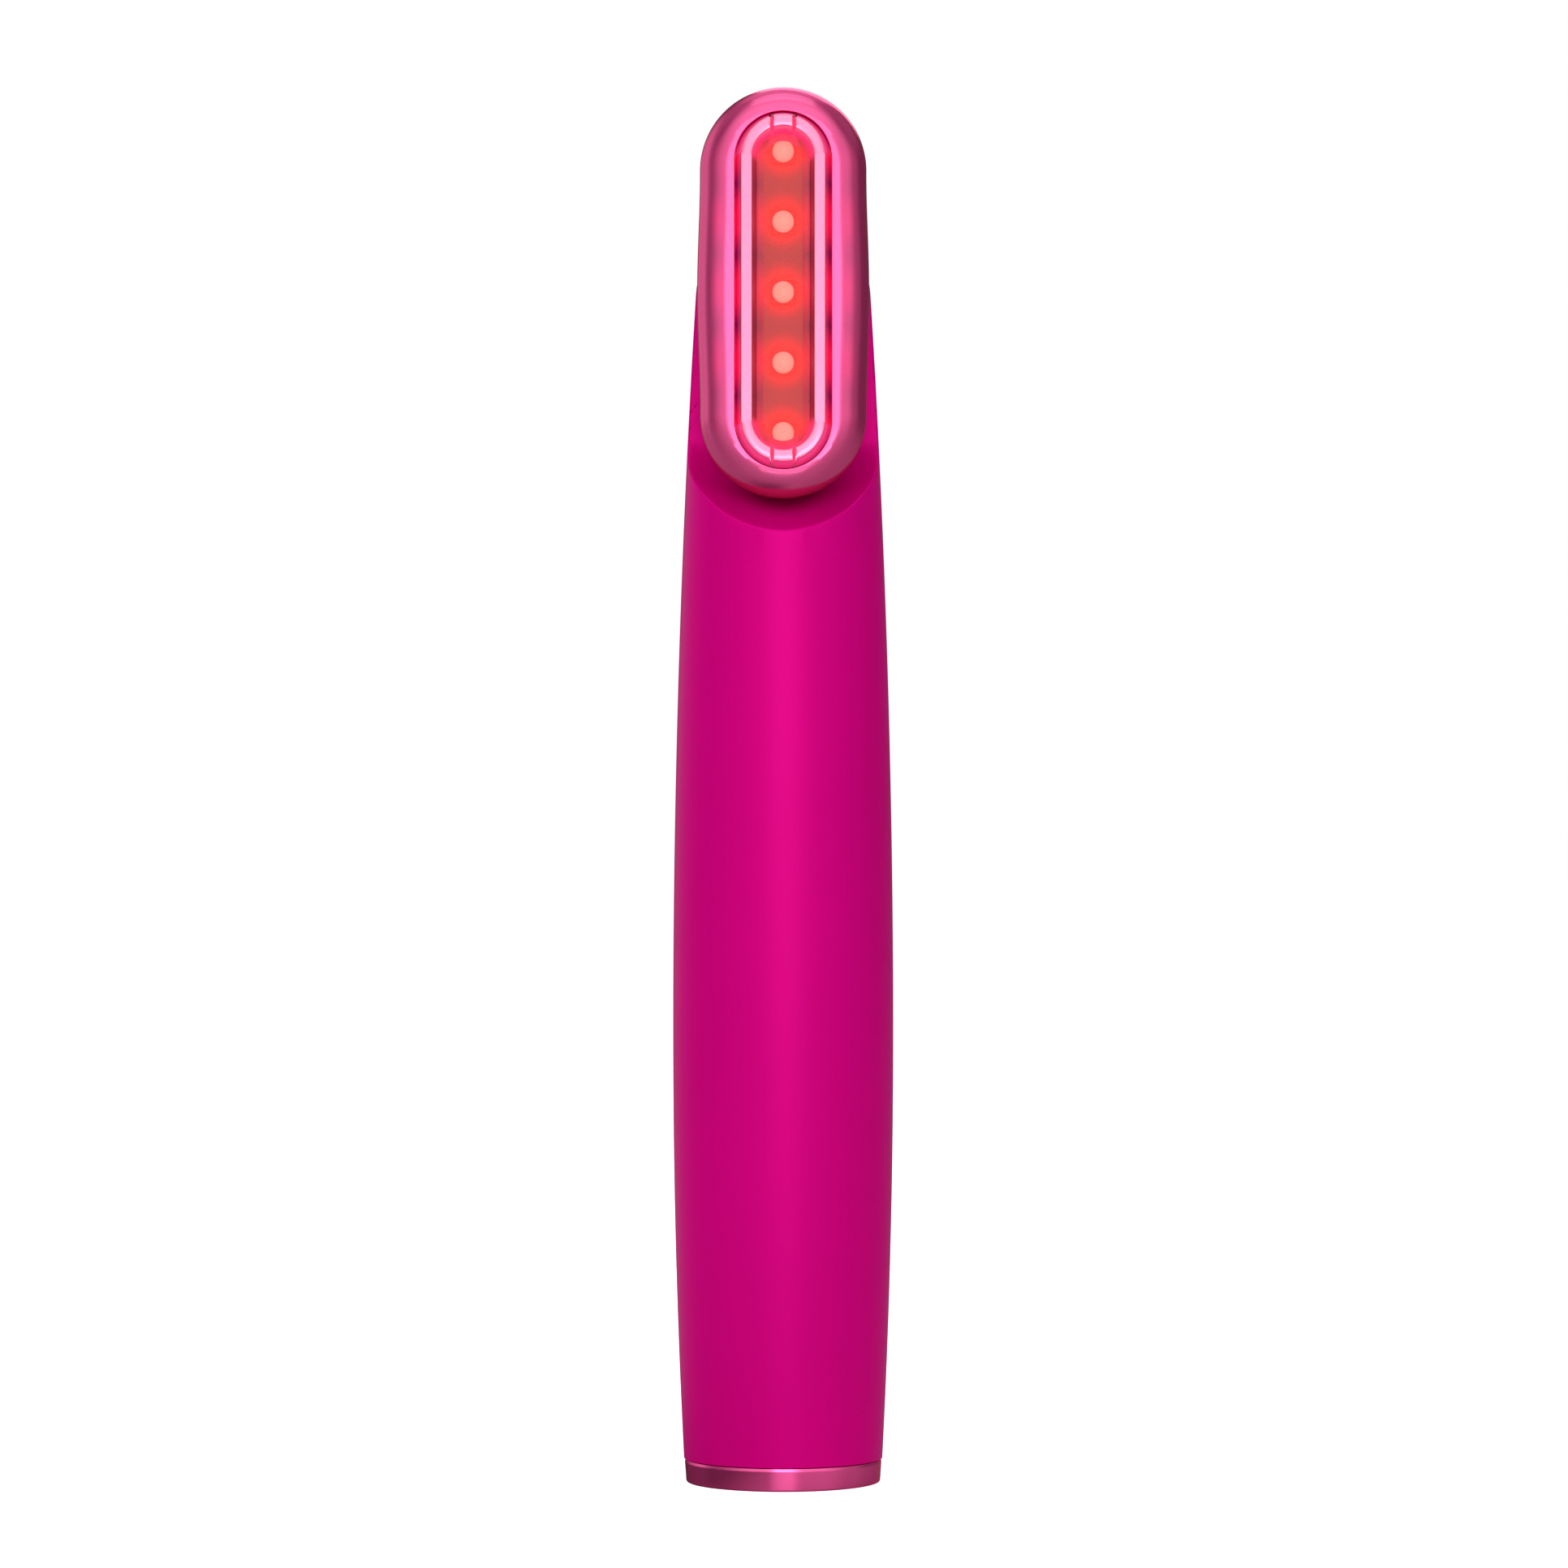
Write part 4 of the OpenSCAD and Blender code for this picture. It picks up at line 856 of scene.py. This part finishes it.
def pod(name, inset, steps=14):
    """The closed pill-shaped body of the head with bowed sides, shrunk by an inset."""
    s = sizes()
    half_l = s.head_l / 2 - s.head_end_r
    side = s.head_end_r - inset
    back_r = s.head_back_r - inset
    front_r = s.head_front_r - inset
    back = s.head_gap + inset + back_r
    front = s.head_gap + s.head_depth - inset - front_r
    turns = [math.pi / 2 * i / steps for i in range(steps + 1)]
    profile = [(side - back_r + back_r * math.sin(a), back - back_r * math.cos(a)) for a in turns]
    profile += [(side - front_r + front_r * math.cos(a), front + front_r * math.sin(a)) for a in turns]
    made = stadium(name, profile[0][0], half_l, profile[0][1])
    pick(made, "edges", lambda e: abs(e.verts[0].co.y - e.verts[1].co.y) > half_l)
    bpy.ops.mesh.subdivide(number_cuts=21)
    rows = sorted({round(abs(v.co.y), 7) for v in bmesh.from_edit_mesh(made.data).verts})
    for row in [y for y in rows if y < half_l]:
        pick(made, "verts", lambda v: abs(abs(v.co.y) - row) < 1e-6)
        swell = 1.0 + s.head_bow / s.head_end_r * (0.5 + 0.5 * math.cos(math.pi * row / half_l))
        bpy.ops.transform.resize(value=(swell, 1.0, 1.0), center_override=(0.0, 0.0, 0.0))
    bpy.ops.mesh.select_all(action="SELECT")
    pull_through(made, half_l, profile)
    bpy.ops.mesh.edge_face_add()
    close_ring(made, lambda co: abs(co.z - profile[0][1]) < 1e-7)
    tidy_normals()
    bpy.ops.object.mode_set(mode="OBJECT")
    return made


class WAND_OT_head(bpy.types.Operator):
    """Builds the lacquered head shell around the ring's opening, and its back cover"""

    bl_idname = "wand.head"
    bl_label = "Head"

    def execute(self, context):
        s = sizes()
        face = s.head_gap + s.head_depth
        seam = s.head_gap + s.cover_h
        shell = pod("head_front", 0.0)
        cut(shell, pod("head_room", s.head_wall))
        cover = copy_of(shell, "head_back")
        cut(shell, block("behind", (-0.03, -0.03, -0.01), (0.03, 0.03, seam)))
        cut(cover, block("before", (-0.03, -0.03, seam), (0.03, 0.03, 0.03)))
        cut(shell, pill_block("opening", s.opening_r, s.ring_half_l, face - 0.0025, face + 0.001))

        def on_opening(co):
            return abs(pill_reach(co, s.ring_half_l) - s.opening_r) < 0.00003 and co.z > face - 0.0004

        def on_seam(co):
            far = pill_reach(co, s.head_l / 2 - s.head_end_r) > s.head_end_r - 0.0002
            return abs(co.z - seam) < 1e-6 and far

        soften(shell, on_opening, 0.00012, 3, 0.00002)
        soften(shell, on_seam, s.seam, 2)
        soften(cover, on_seam, s.seam, 2)
        boss = lathe("boss", [(s.boss_r, s.head_gap + 0.0002), (s.boss_r, s.boss_top)], 64)
        cut(cover, boss, "UNION")
        cut(cover, lathe("bore", [(s.shaft_r, -0.001), (s.shaft_r, 0.009)], 64))
        for i in range(3):
            hole = lathe("hole", [(s.small_screw_r, s.boss_top - 0.0013), (s.small_screw_r, 0.009)], 24)
            turned = Matrix.Rotation(math.radians(120.0 * i), 4, "Z")
            put(hole, turned @ Matrix.Translation((0.0, s.shaft_screw_r, 0.0)))
            cut(cover, hole)
        for piece in (shell, cover):
            put(piece, head_place())
        done(shell, "head_front", "head", "head_plating", ["head_shell"])
        done(cover, "head_back", "head", "head_plating", ["head_back_cover"])
        return {"FINISHED"}


class WAND_OT_ring(bpy.types.Operator):
    """Builds the split contact ring, its two blocks, the lit strips on its sides and the window"""

    bl_idname = "wand.ring"
    bl_label = "Contact Ring"

    def execute(self, context):
        s = sizes()
        face = s.head_gap + s.head_depth
        top = face + s.ring_rise
        foot = face - s.ring_sink
        whole = stadium("ring", s.ring_out_r + s.ring_draft, s.ring_half_l, foot)
        pull_through(whole, s.ring_half_l, [
            (s.ring_out_r + s.ring_draft, foot), (s.ring_out_r, top), (s.ring_in_r, top),
            (s.ring_in_r - s.ring_in_draft, foot), (s.ring_out_r + s.ring_draft, foot)])
        tidy_normals()
        bpy.ops.object.mode_set(mode="OBJECT")

        slit = s.block_half_w + s.block_slit
        halves = (
            ("ring_left", "electrode_left", (-0.02, -0.03), (-slit, 0.03)),
            ("ring_right", "electrode_right", (slit, -0.03), (0.02, 0.03)),
            ("block_top", "insulator_top", (-s.block_half_w, 0.005), (s.block_half_w, 0.03)),
            ("block_bottom", "insulator_bottom", (-s.block_half_w, -0.03), (s.block_half_w, -0.005)),
        )
        for name, node, low, high in halves:
            piece = copy_of(whole, name)
            cut(piece, block("keep", (*low, 0.0), (*high, 0.02)), "INTERSECT")
            soften(piece, lambda co: co.z > face + 0.0003, s.ring_edge, 3)
            put(piece, head_place())
            done(piece, name, "head", "contact_metal", [node])
        bpy.data.objects.remove(whole)

        # Thin sheets just proud of the ring's outer walls, which carry the painted red glow of the lights on
        # those walls.
        lift = s.strip_t
        slope = s.ring_draft / (top - foot)
        high = top - 0.00022
        strip = stadium("strips", s.ring_out_r + s.ring_draft + lift, s.ring_half_l, foot)
        upper = s.ring_out_r + slope * (top - high)
        pull_through(strip, s.ring_half_l, [
            (s.ring_out_r + s.ring_draft + lift, foot), (upper + lift, high), (upper - lift, high),
            (s.ring_out_r + s.ring_draft - lift, foot), (s.ring_out_r + s.ring_draft + lift, foot)])
        tidy_normals()
        cut(strip, block("keep", (-0.02, -s.strip_half_l, 0.0), (0.02, s.strip_half_l, 0.02)), "INTERSECT")
        put(strip, head_place())
        done(strip, "light_strips", "head", "carrier_plastic", [])

        level = face - s.window_drop
        edge = 0.00012
        window = stadium("window", s.window_r, s.ring_half_l, level - s.window_t)
        pull_through(window, s.ring_half_l, [
            (s.window_r, level - s.window_t), (s.window_r, level - edge), (s.window_r - edge, level)])
        bpy.ops.mesh.edge_face_add()
        close_ring(window, lambda co: abs(co.z - (level - s.window_t)) < 1e-7)
        tidy_normals()
        put(window, head_place())
        done(window, "window", "head", "window_plastic", ["led_window"])
        return {"FINISHED"}


class WAND_OT_lights(bpy.types.Operator):
    """Builds one light, a milky round lens on a square base, and sets five of them in a row"""

    bl_idname = "wand.lights"
    bl_label = "Lights"

    def execute(self, context):
        s = sizes()
        board = s.head_gap + s.head_depth - s.led_board_drop
        step = board + s.led_base_h
        half = s.led_base / 2
        light = block("light", (-half, -half, board), (half, half, step))
        soften(light, lambda co: co.z > board + 1e-5, 0.0001, 2)
        radius = s.led_d / 2
        bead = 0.00025
        profile = [(radius, step - 0.0001), (radius, step + s.led_lens_h - bead)]
        for i in range(1, 6):
            a = math.pi / 2 * i / 5
            profile.append((radius - bead + bead * math.cos(a), step + s.led_lens_h - bead + bead * math.sin(a)))
        lens = lathe("lens", profile, 64)
        cut(light, lens, "UNION")
        for i in range(5):
            piece = copy_of(light, f"light_{i + 1}")
            put(piece, head_place() @ Matrix.Translation((0.0, (2 - i) * s.led_pitch, 0.0)))
            done(piece, f"light_{i + 1}", "head", "light_lens", [f"led_{i + 1}"])
        bpy.data.objects.remove(light)
        return {"FINISHED"}


class WAND_OT_cap(bpy.types.Operator):
    """Builds the metallic end cap with its collar and the charging opening"""

    bl_idname = "wand.cap"
    bl_label = "End Cap"

    def execute(self, context):
        s = sizes()
        low = half_width(0.0) - s.cap_inset
        high = half_width(s.cap_h) - s.cap_inset
        edge = s.cap_edge_r
        profile = [(low - edge + edge * math.sin(a), edge - edge * math.cos(a))
                   for a in (math.pi / 2 * i / 6 for i in range(7))]
        bead = s.cap_bead
        lean = s.cap_h - bead - s.cap_taper_h
        profile += [(high, lean - 0.00004), (high, lean)]
        high -= s.cap_taper
        profile += [(high, s.cap_h - bead - 0.00004), (high, s.cap_h - bead)]
        profile += [(high - bead + bead * math.cos(a), s.cap_h - bead + bead * math.sin(a))
                    for a in (math.pi / 2 * i / 4 for i in range(1, 5))]
        cap = lathe("cap", profile, 144, s.depth_ratio)
        ratio = inner_ratio()
        top = s.cap_h + s.collar_h
        outer = half_width(top) - s.shell_t - s.collar_clear
        groove = outer - s.seal_t
        collar = lathe("collar", [
            (outer, s.cap_h - 0.0002), (outer, s.seal_z), (groove, s.seal_z),
            (groove, s.seal_z + s.seal_h), (outer, s.seal_z + s.seal_h), (outer, top)], 144, ratio)
        cut(cap, collar, "UNION")
        cut(cap, lathe("cup", [(outer - s.collar_t, s.cap_floor_t), (outer - s.collar_t, top + 0.001)],
                       144, ratio))
        port = pill_block("port", s.port_h / 2, (s.port_w - s.port_h) / 2, -0.001, 0.003, 48)
        put(port, Matrix.Rotation(math.pi / 2, 4, "Z"))
        cut(cap, port)

        def on_port(co):
            return co.z < 1e-6 and math.hypot(co.x, co.y) < s.port_w / 2 + 0.0001

        soften(cap, on_port, 0.00012, 2)
        done(cap, "cap", "handle", "cap_metal", ["end_cap"])
        return {"FINISHED"}


class WAND_OT_back(bpy.types.Operator):
    """Builds the button and the indicator lens on the back of the handle"""

    bl_idname = "wand.back"
    bl_label = "Button and Indicator"

    def execute(self, context):
        s = sizes()
        half_l = (s.button_l - s.button_w) / 2
        low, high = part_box("power_button")
        wide = (high[0] - low[0]) / 2
        radius = s.button_w / 2
        flange = low[1] + s.button_flange_t
        crown = s.button_crown
        profile = [(wide, low[1]), (wide, flange), (radius, flange), (radius, high[1] - crown)]
        for i in range(1, 8):
            a = math.pi / 2 * i / 7
            profile.append((radius - crown + crown * math.cos(a), high[1] - crown + crown * math.sin(a)))
        profile += [(radius - 0.0014, high[1] - 0.00004), (radius - 0.0021, high[1] - 0.00012)]
        button = stadium("button", wide, half_l, low[1], 64)
        pull_through(button, half_l, profile)
        bpy.ops.mesh.edge_face_add()
        close_ring(button, lambda co: abs(co.z - low[1]) < 1e-7)
        tidy_normals()
        bpy.ops.object.mode_set(mode="OBJECT")
        to_back = Matrix.Rotation(-math.pi / 2, 4, "X")
        put(button, Matrix.Translation((0.0, 0.0, s.button_z)) @ to_back)
        done(button, "button", "button", "head_plating", ["power_button"])

        low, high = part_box("indicator_lens")
        wide = (high[0] - low[0]) / 2
        radius = s.indicator_d / 2
        profile = [(wide, low[1]), (wide, low[1] + 0.0008), (radius, low[1] + 0.0008)]
        for i in range(6):
            a = math.pi / 2 * i / 6
            profile.append((radius * math.cos(a), high[1] - 0.00025 + 0.00025 * math.sin(a)))
        profile.append((0.0, high[1]))
        lens = lathe("indicator", profile, 48)
        put(lens, Matrix.Translation((0.0, 0.0, s.indicator_z)) @ to_back)
        done(lens, "indicator", "handle", "lens_clear", ["indicator_lens"])
        return {"FINISHED"}


# Studio

def softbox(name, place, target, width, height, brightness, mirrored=True, scattered=True):
    """A rectangular soft lamp of an even brightness, turned towards a point."""
    data = bpy.data.lights.new(name, "AREA")
    data.shape = "RECTANGLE"
    data.size = width
    data.size_y = height
    data.energy = brightness * math.pi * width * height
    made = bpy.data.objects.new(name, data)
    made.visible_glossy = mirrored
    made.visible_diffuse = scattered
    bpy.context.scene.collection.objects.link(made)
    made.location = place
    made.rotation_euler = (Vector(target) - Vector(place)).to_track_quat("-Z", "Y").to_euler()
    return made


class WAND_OT_stage(bpy.types.Operator):
    """Adds the pale floor, the soft lamps, the surroundings and the camera"""

    bl_idname = "wand.stage"
    bl_label = "Stage"

    def execute(self, context):
        scene = context.scene
        scene.view_settings.view_transform = "Standard"
        bpy.ops.object.select_all(action="DESELECT")
        bpy.ops.mesh.primitive_plane_add(size=studio().floor_width)
        floor = context.object
        floor.name = "floor"
        paper, tree, place = new_finish("paper")
        fibre = noise(tree, place, 0.002, 3.0)
        seen = add(tree, "ShaderNodeLightPath")
        direct = add(tree, "ShaderNodeMath", {0: seen.outputs["Is Camera Ray"],
                                              1: seen.outputs["Is Transmission Ray"]}, operation="MAXIMUM")
        lift = add(tree, "ShaderNodeMath", {0: direct.outputs[0], 1: 0.87}, operation="MULTIPLY")
        mirrored = add(tree, "ShaderNodeMath", {0: seen.outputs["Is Glossy Ray"], 1: 0.05, 2: lift.outputs[0]},
                       operation="MULTIPLY_ADD")
        paper_and_painted_dark = blend(tree, fibre, (0.83, 0.83, 0.83), (0.85, 0.85, 0.85))
        reach = add(tree, "ShaderNodeVectorMath", {0: place}, operation="LENGTH").outputs["Value"]
        across = add(tree, "ShaderNodeSeparateXYZ", {"Vector": place}).outputs["X"]
        # Glossy rays see the floor painted dark to the left of the foot and grey round it: a painted dark
        # reflection in the cap and the handle. The camera sees the white paper.
        grey = blend(tree, spread(tree, across, 0.0, 1.0, -0.012, 0.016), (0.03, 0.03, 0.03), (0.5, 0.5, 0.5))
        grey = blend(tree, spread(tree, reach, 0.0, 1.0, 0.03, 0.08), grey, (0.6, 0.6, 0.6))
        paper_and_painted_dark = blend(tree, seen.outputs["Is Glossy Ray"], paper_and_painted_dark, grey)
        matt = add(tree, "ShaderNodeBsdfDiffuse", {"Color": paper_and_painted_dark})
        glow = add(tree, "ShaderNodeEmission", {"Color": (1.0, 1.0, 1.0), "Strength": mirrored.outputs[0]})
        both = add(tree, "ShaderNodeAddShader", {0: matt.outputs[0], 1: glow.outputs[0]})
        # The sheen's colour is painted dark to the left of the foot too, for the same painted dark reflection.
        sheen_painted_dark_left = blend(tree, spread(tree, across, 0.0, 1.0, -0.012, 0.006), (0.2, 0.2, 0.2), (1.0, 1.0, 1.0))
        sheen_painted_dark_left = blend(tree, spread(tree, reach, 0.0, 1.0, 0.04, 0.12), sheen_painted_dark_left, (1.0, 1.0, 1.0))
        sheen = add(tree, "ShaderNodeBsdfAnisotropic", {"Color": sheen_painted_dark_left, "Roughness": 0.15})
        grazing = add(tree, "ShaderNodeFresnel", {"IOR": 2.0}).outputs["Fac"]
        share = add(tree, "ShaderNodeMath", {0: seen.outputs["Is Glossy Ray"], 1: grazing},
                    operation="MULTIPLY")
        table = add(tree, "ShaderNodeMixShader", {0: share.outputs[0], 1: both.outputs[0],
                                                  2: sheen.outputs[0]})
        add(tree, "ShaderNodeOutputMaterial", {"Surface": table.outputs[0]})
        floor.data.materials.append(paper)

        world = bpy.data.worlds.new("studio")
        scene.world = world
        world.use_nodes = True
        tree = world.node_tree
        tree.nodes.clear()
        seen = add(tree, "ShaderNodeLightPath")
        aim = add(tree, "ShaderNodeTexCoord").outputs["Generated"]

        def patch(direction, inner, outer, strength):
            """A soft round patch of brightness about a direction, its edges given in degrees."""
            along = add(tree, "ShaderNodeVectorMath", {0: aim, 1: Vector(direction).normalized()},
                        operation="DOT_PRODUCT").outputs["Value"]
            return add(tree, "ShaderNodeMapRange", {
                "Value": along, "From Min": math.cos(math.radians(outer)),
                "From Max": math.cos(math.radians(inner)), "To Min": 0.0, "To Max": strength,
            }, interpolation_type="SMOOTHSTEP").outputs["Result"]

        side = patch((0.0, -1.0, 0.15), 15.0, 70.0, 1.1)
        for direction, inner, outer, strength in (((-0.85, 0.5, 0.1), 12.0, 42.0, 0.85),
                                                  ((0.0, -0.55, 0.83), 10.0, 45.0, 0.9),
                                                  ((0.0, 0.4, 0.9), 8.0, 32.0, 1.0),
                                                  ((-0.66, 0.19, 0.71), 8.0, 32.0, 0.3),
                                                  ((0.66, 0.19, 0.71), 8.0, 32.0, 0.25),
                                                  ((-0.98, -0.17, 0.1), 5.0, 35.0, 0.18),
                                                  ((0.85, -0.45, 0.12), 10.0, 35.0, 0.3)):
            side = add(tree, "ShaderNodeMath", {0: side, 1: patch(direction, inner, outer, strength)},
                       operation="ADD").outputs[0]
        side = add(tree, "ShaderNodeMath", {0: side, 1: 0.14}, operation="ADD")
        clear = add(tree, "ShaderNodeMath", {0: seen.outputs["Is Glossy Ray"],
                                             1: seen.outputs["Is Transmission Ray"]}, operation="MAXIMUM")
        level = add(tree, "ShaderNodeMix", {0: clear.outputs[0], 2: 0.15, 3: side.outputs[0]})
        level = add(tree, "ShaderNodeMix", {0: seen.outputs["Is Camera Ray"], 2: level.outputs[0], 3: 1.0})
        sky = add(tree, "ShaderNodeBackground", {"Color": (1.0, 1.0, 1.0), "Strength": level.outputs[0]})
        add(tree, "ShaderNodeOutputWorld", {"Surface": sky.outputs[0]})

        softbox("front_softbox", (0.0, -0.80, 0.24), (0.0, 0.0, 0.09), 0.30, 0.46, 1.8, True, False)
        softbox("low_strip", (0.04, -0.70, 0.095), (0.0, 0.0, 0.03), 0.26, 0.09, 3.4, True, False)
        softbox("front_fill", (0.0, -1.12, 0.55), (0.0, 0.0, 0.10), 1.1, 0.6, 2.75, False)
        softbox("left_fill", (-0.75, -0.42, 0.70), (0.0, 0.0, 0.10), 0.45, 0.5, 3.0, False)
        softbox("right_fill", (0.75, -0.50, 0.70), (0.0, 0.0, 0.10), 0.45, 0.5, 1.95, False)
        softbox("top_softbox", (0.0, -0.12, 0.75), (0.0, 0.0, 0.10), 0.5, 0.35, 1.2)
        softbox("back_softbox", (0.15, 0.70, 0.70), (0.0, 0.0, 0.08), 0.6, 0.6, 2.2)

        data = bpy.data.cameras.new("camera")
        data.sensor_width = 36.0
        data.lens = 36.0 * studio().camera_distance / studio().view_width
        data.clip_start = 0.01
        data.clip_end = 50.0
        camera = bpy.data.objects.new("camera", data)
        scene.collection.objects.link(camera)
        camera.location = (0.0000925, -studio().camera_distance, studio().camera_height)
        camera.rotation_euler = (math.pi / 2, 0.0, 0.0)
        scene.camera = camera
        return {"FINISHED"}


class WAND_PT_sidebar(bpy.types.Panel):
    """Sizes, colours and steps of the wand"""

    bl_idname = "WAND_PT_sidebar"
    bl_label = "Skin Firming Wand"
    bl_space_type = "VIEW_3D"
    bl_region_type = "UI"
    bl_category = "Wand"

    def draw(self, context):
        for group in (sizes(), colours(), studio()):
            box = self.layout.box()
            for name in group.__annotations__:
                box.prop(group, name)
        for step in STEPS:
            self.layout.operator(step.bl_idname)


GROUPS = (WandSizes, WandColours, WandStudio)
STEPS = (WAND_OT_finishes, WAND_OT_shells, WAND_OT_cap, WAND_OT_back, WAND_OT_head, WAND_OT_ring,
         WAND_OT_lights, WAND_OT_stage)


def register():
    for entry in GROUPS + STEPS + (WAND_PT_sidebar,):
        bpy.utils.register_class(entry)
    bpy.types.Scene.wand_sizes = bpy.props.PointerProperty(type=WandSizes)
    bpy.types.Scene.wand_colours = bpy.props.PointerProperty(type=WandColours)
    bpy.types.Scene.wand_studio = bpy.props.PointerProperty(type=WandStudio)


def unregister():
    del bpy.types.Scene.wand_studio
    del bpy.types.Scene.wand_colours
    del bpy.types.Scene.wand_sizes
    for entry in reversed(GROUPS + STEPS + (WAND_PT_sidebar,)):
        bpy.utils.unregister_class(entry)


def main():
    """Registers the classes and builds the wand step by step."""
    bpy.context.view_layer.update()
    register()
    for step in STEPS:
        getattr(bpy.ops.wand, step.bl_idname.split(".")[1])()


if __name__ == "__main__":
    main()
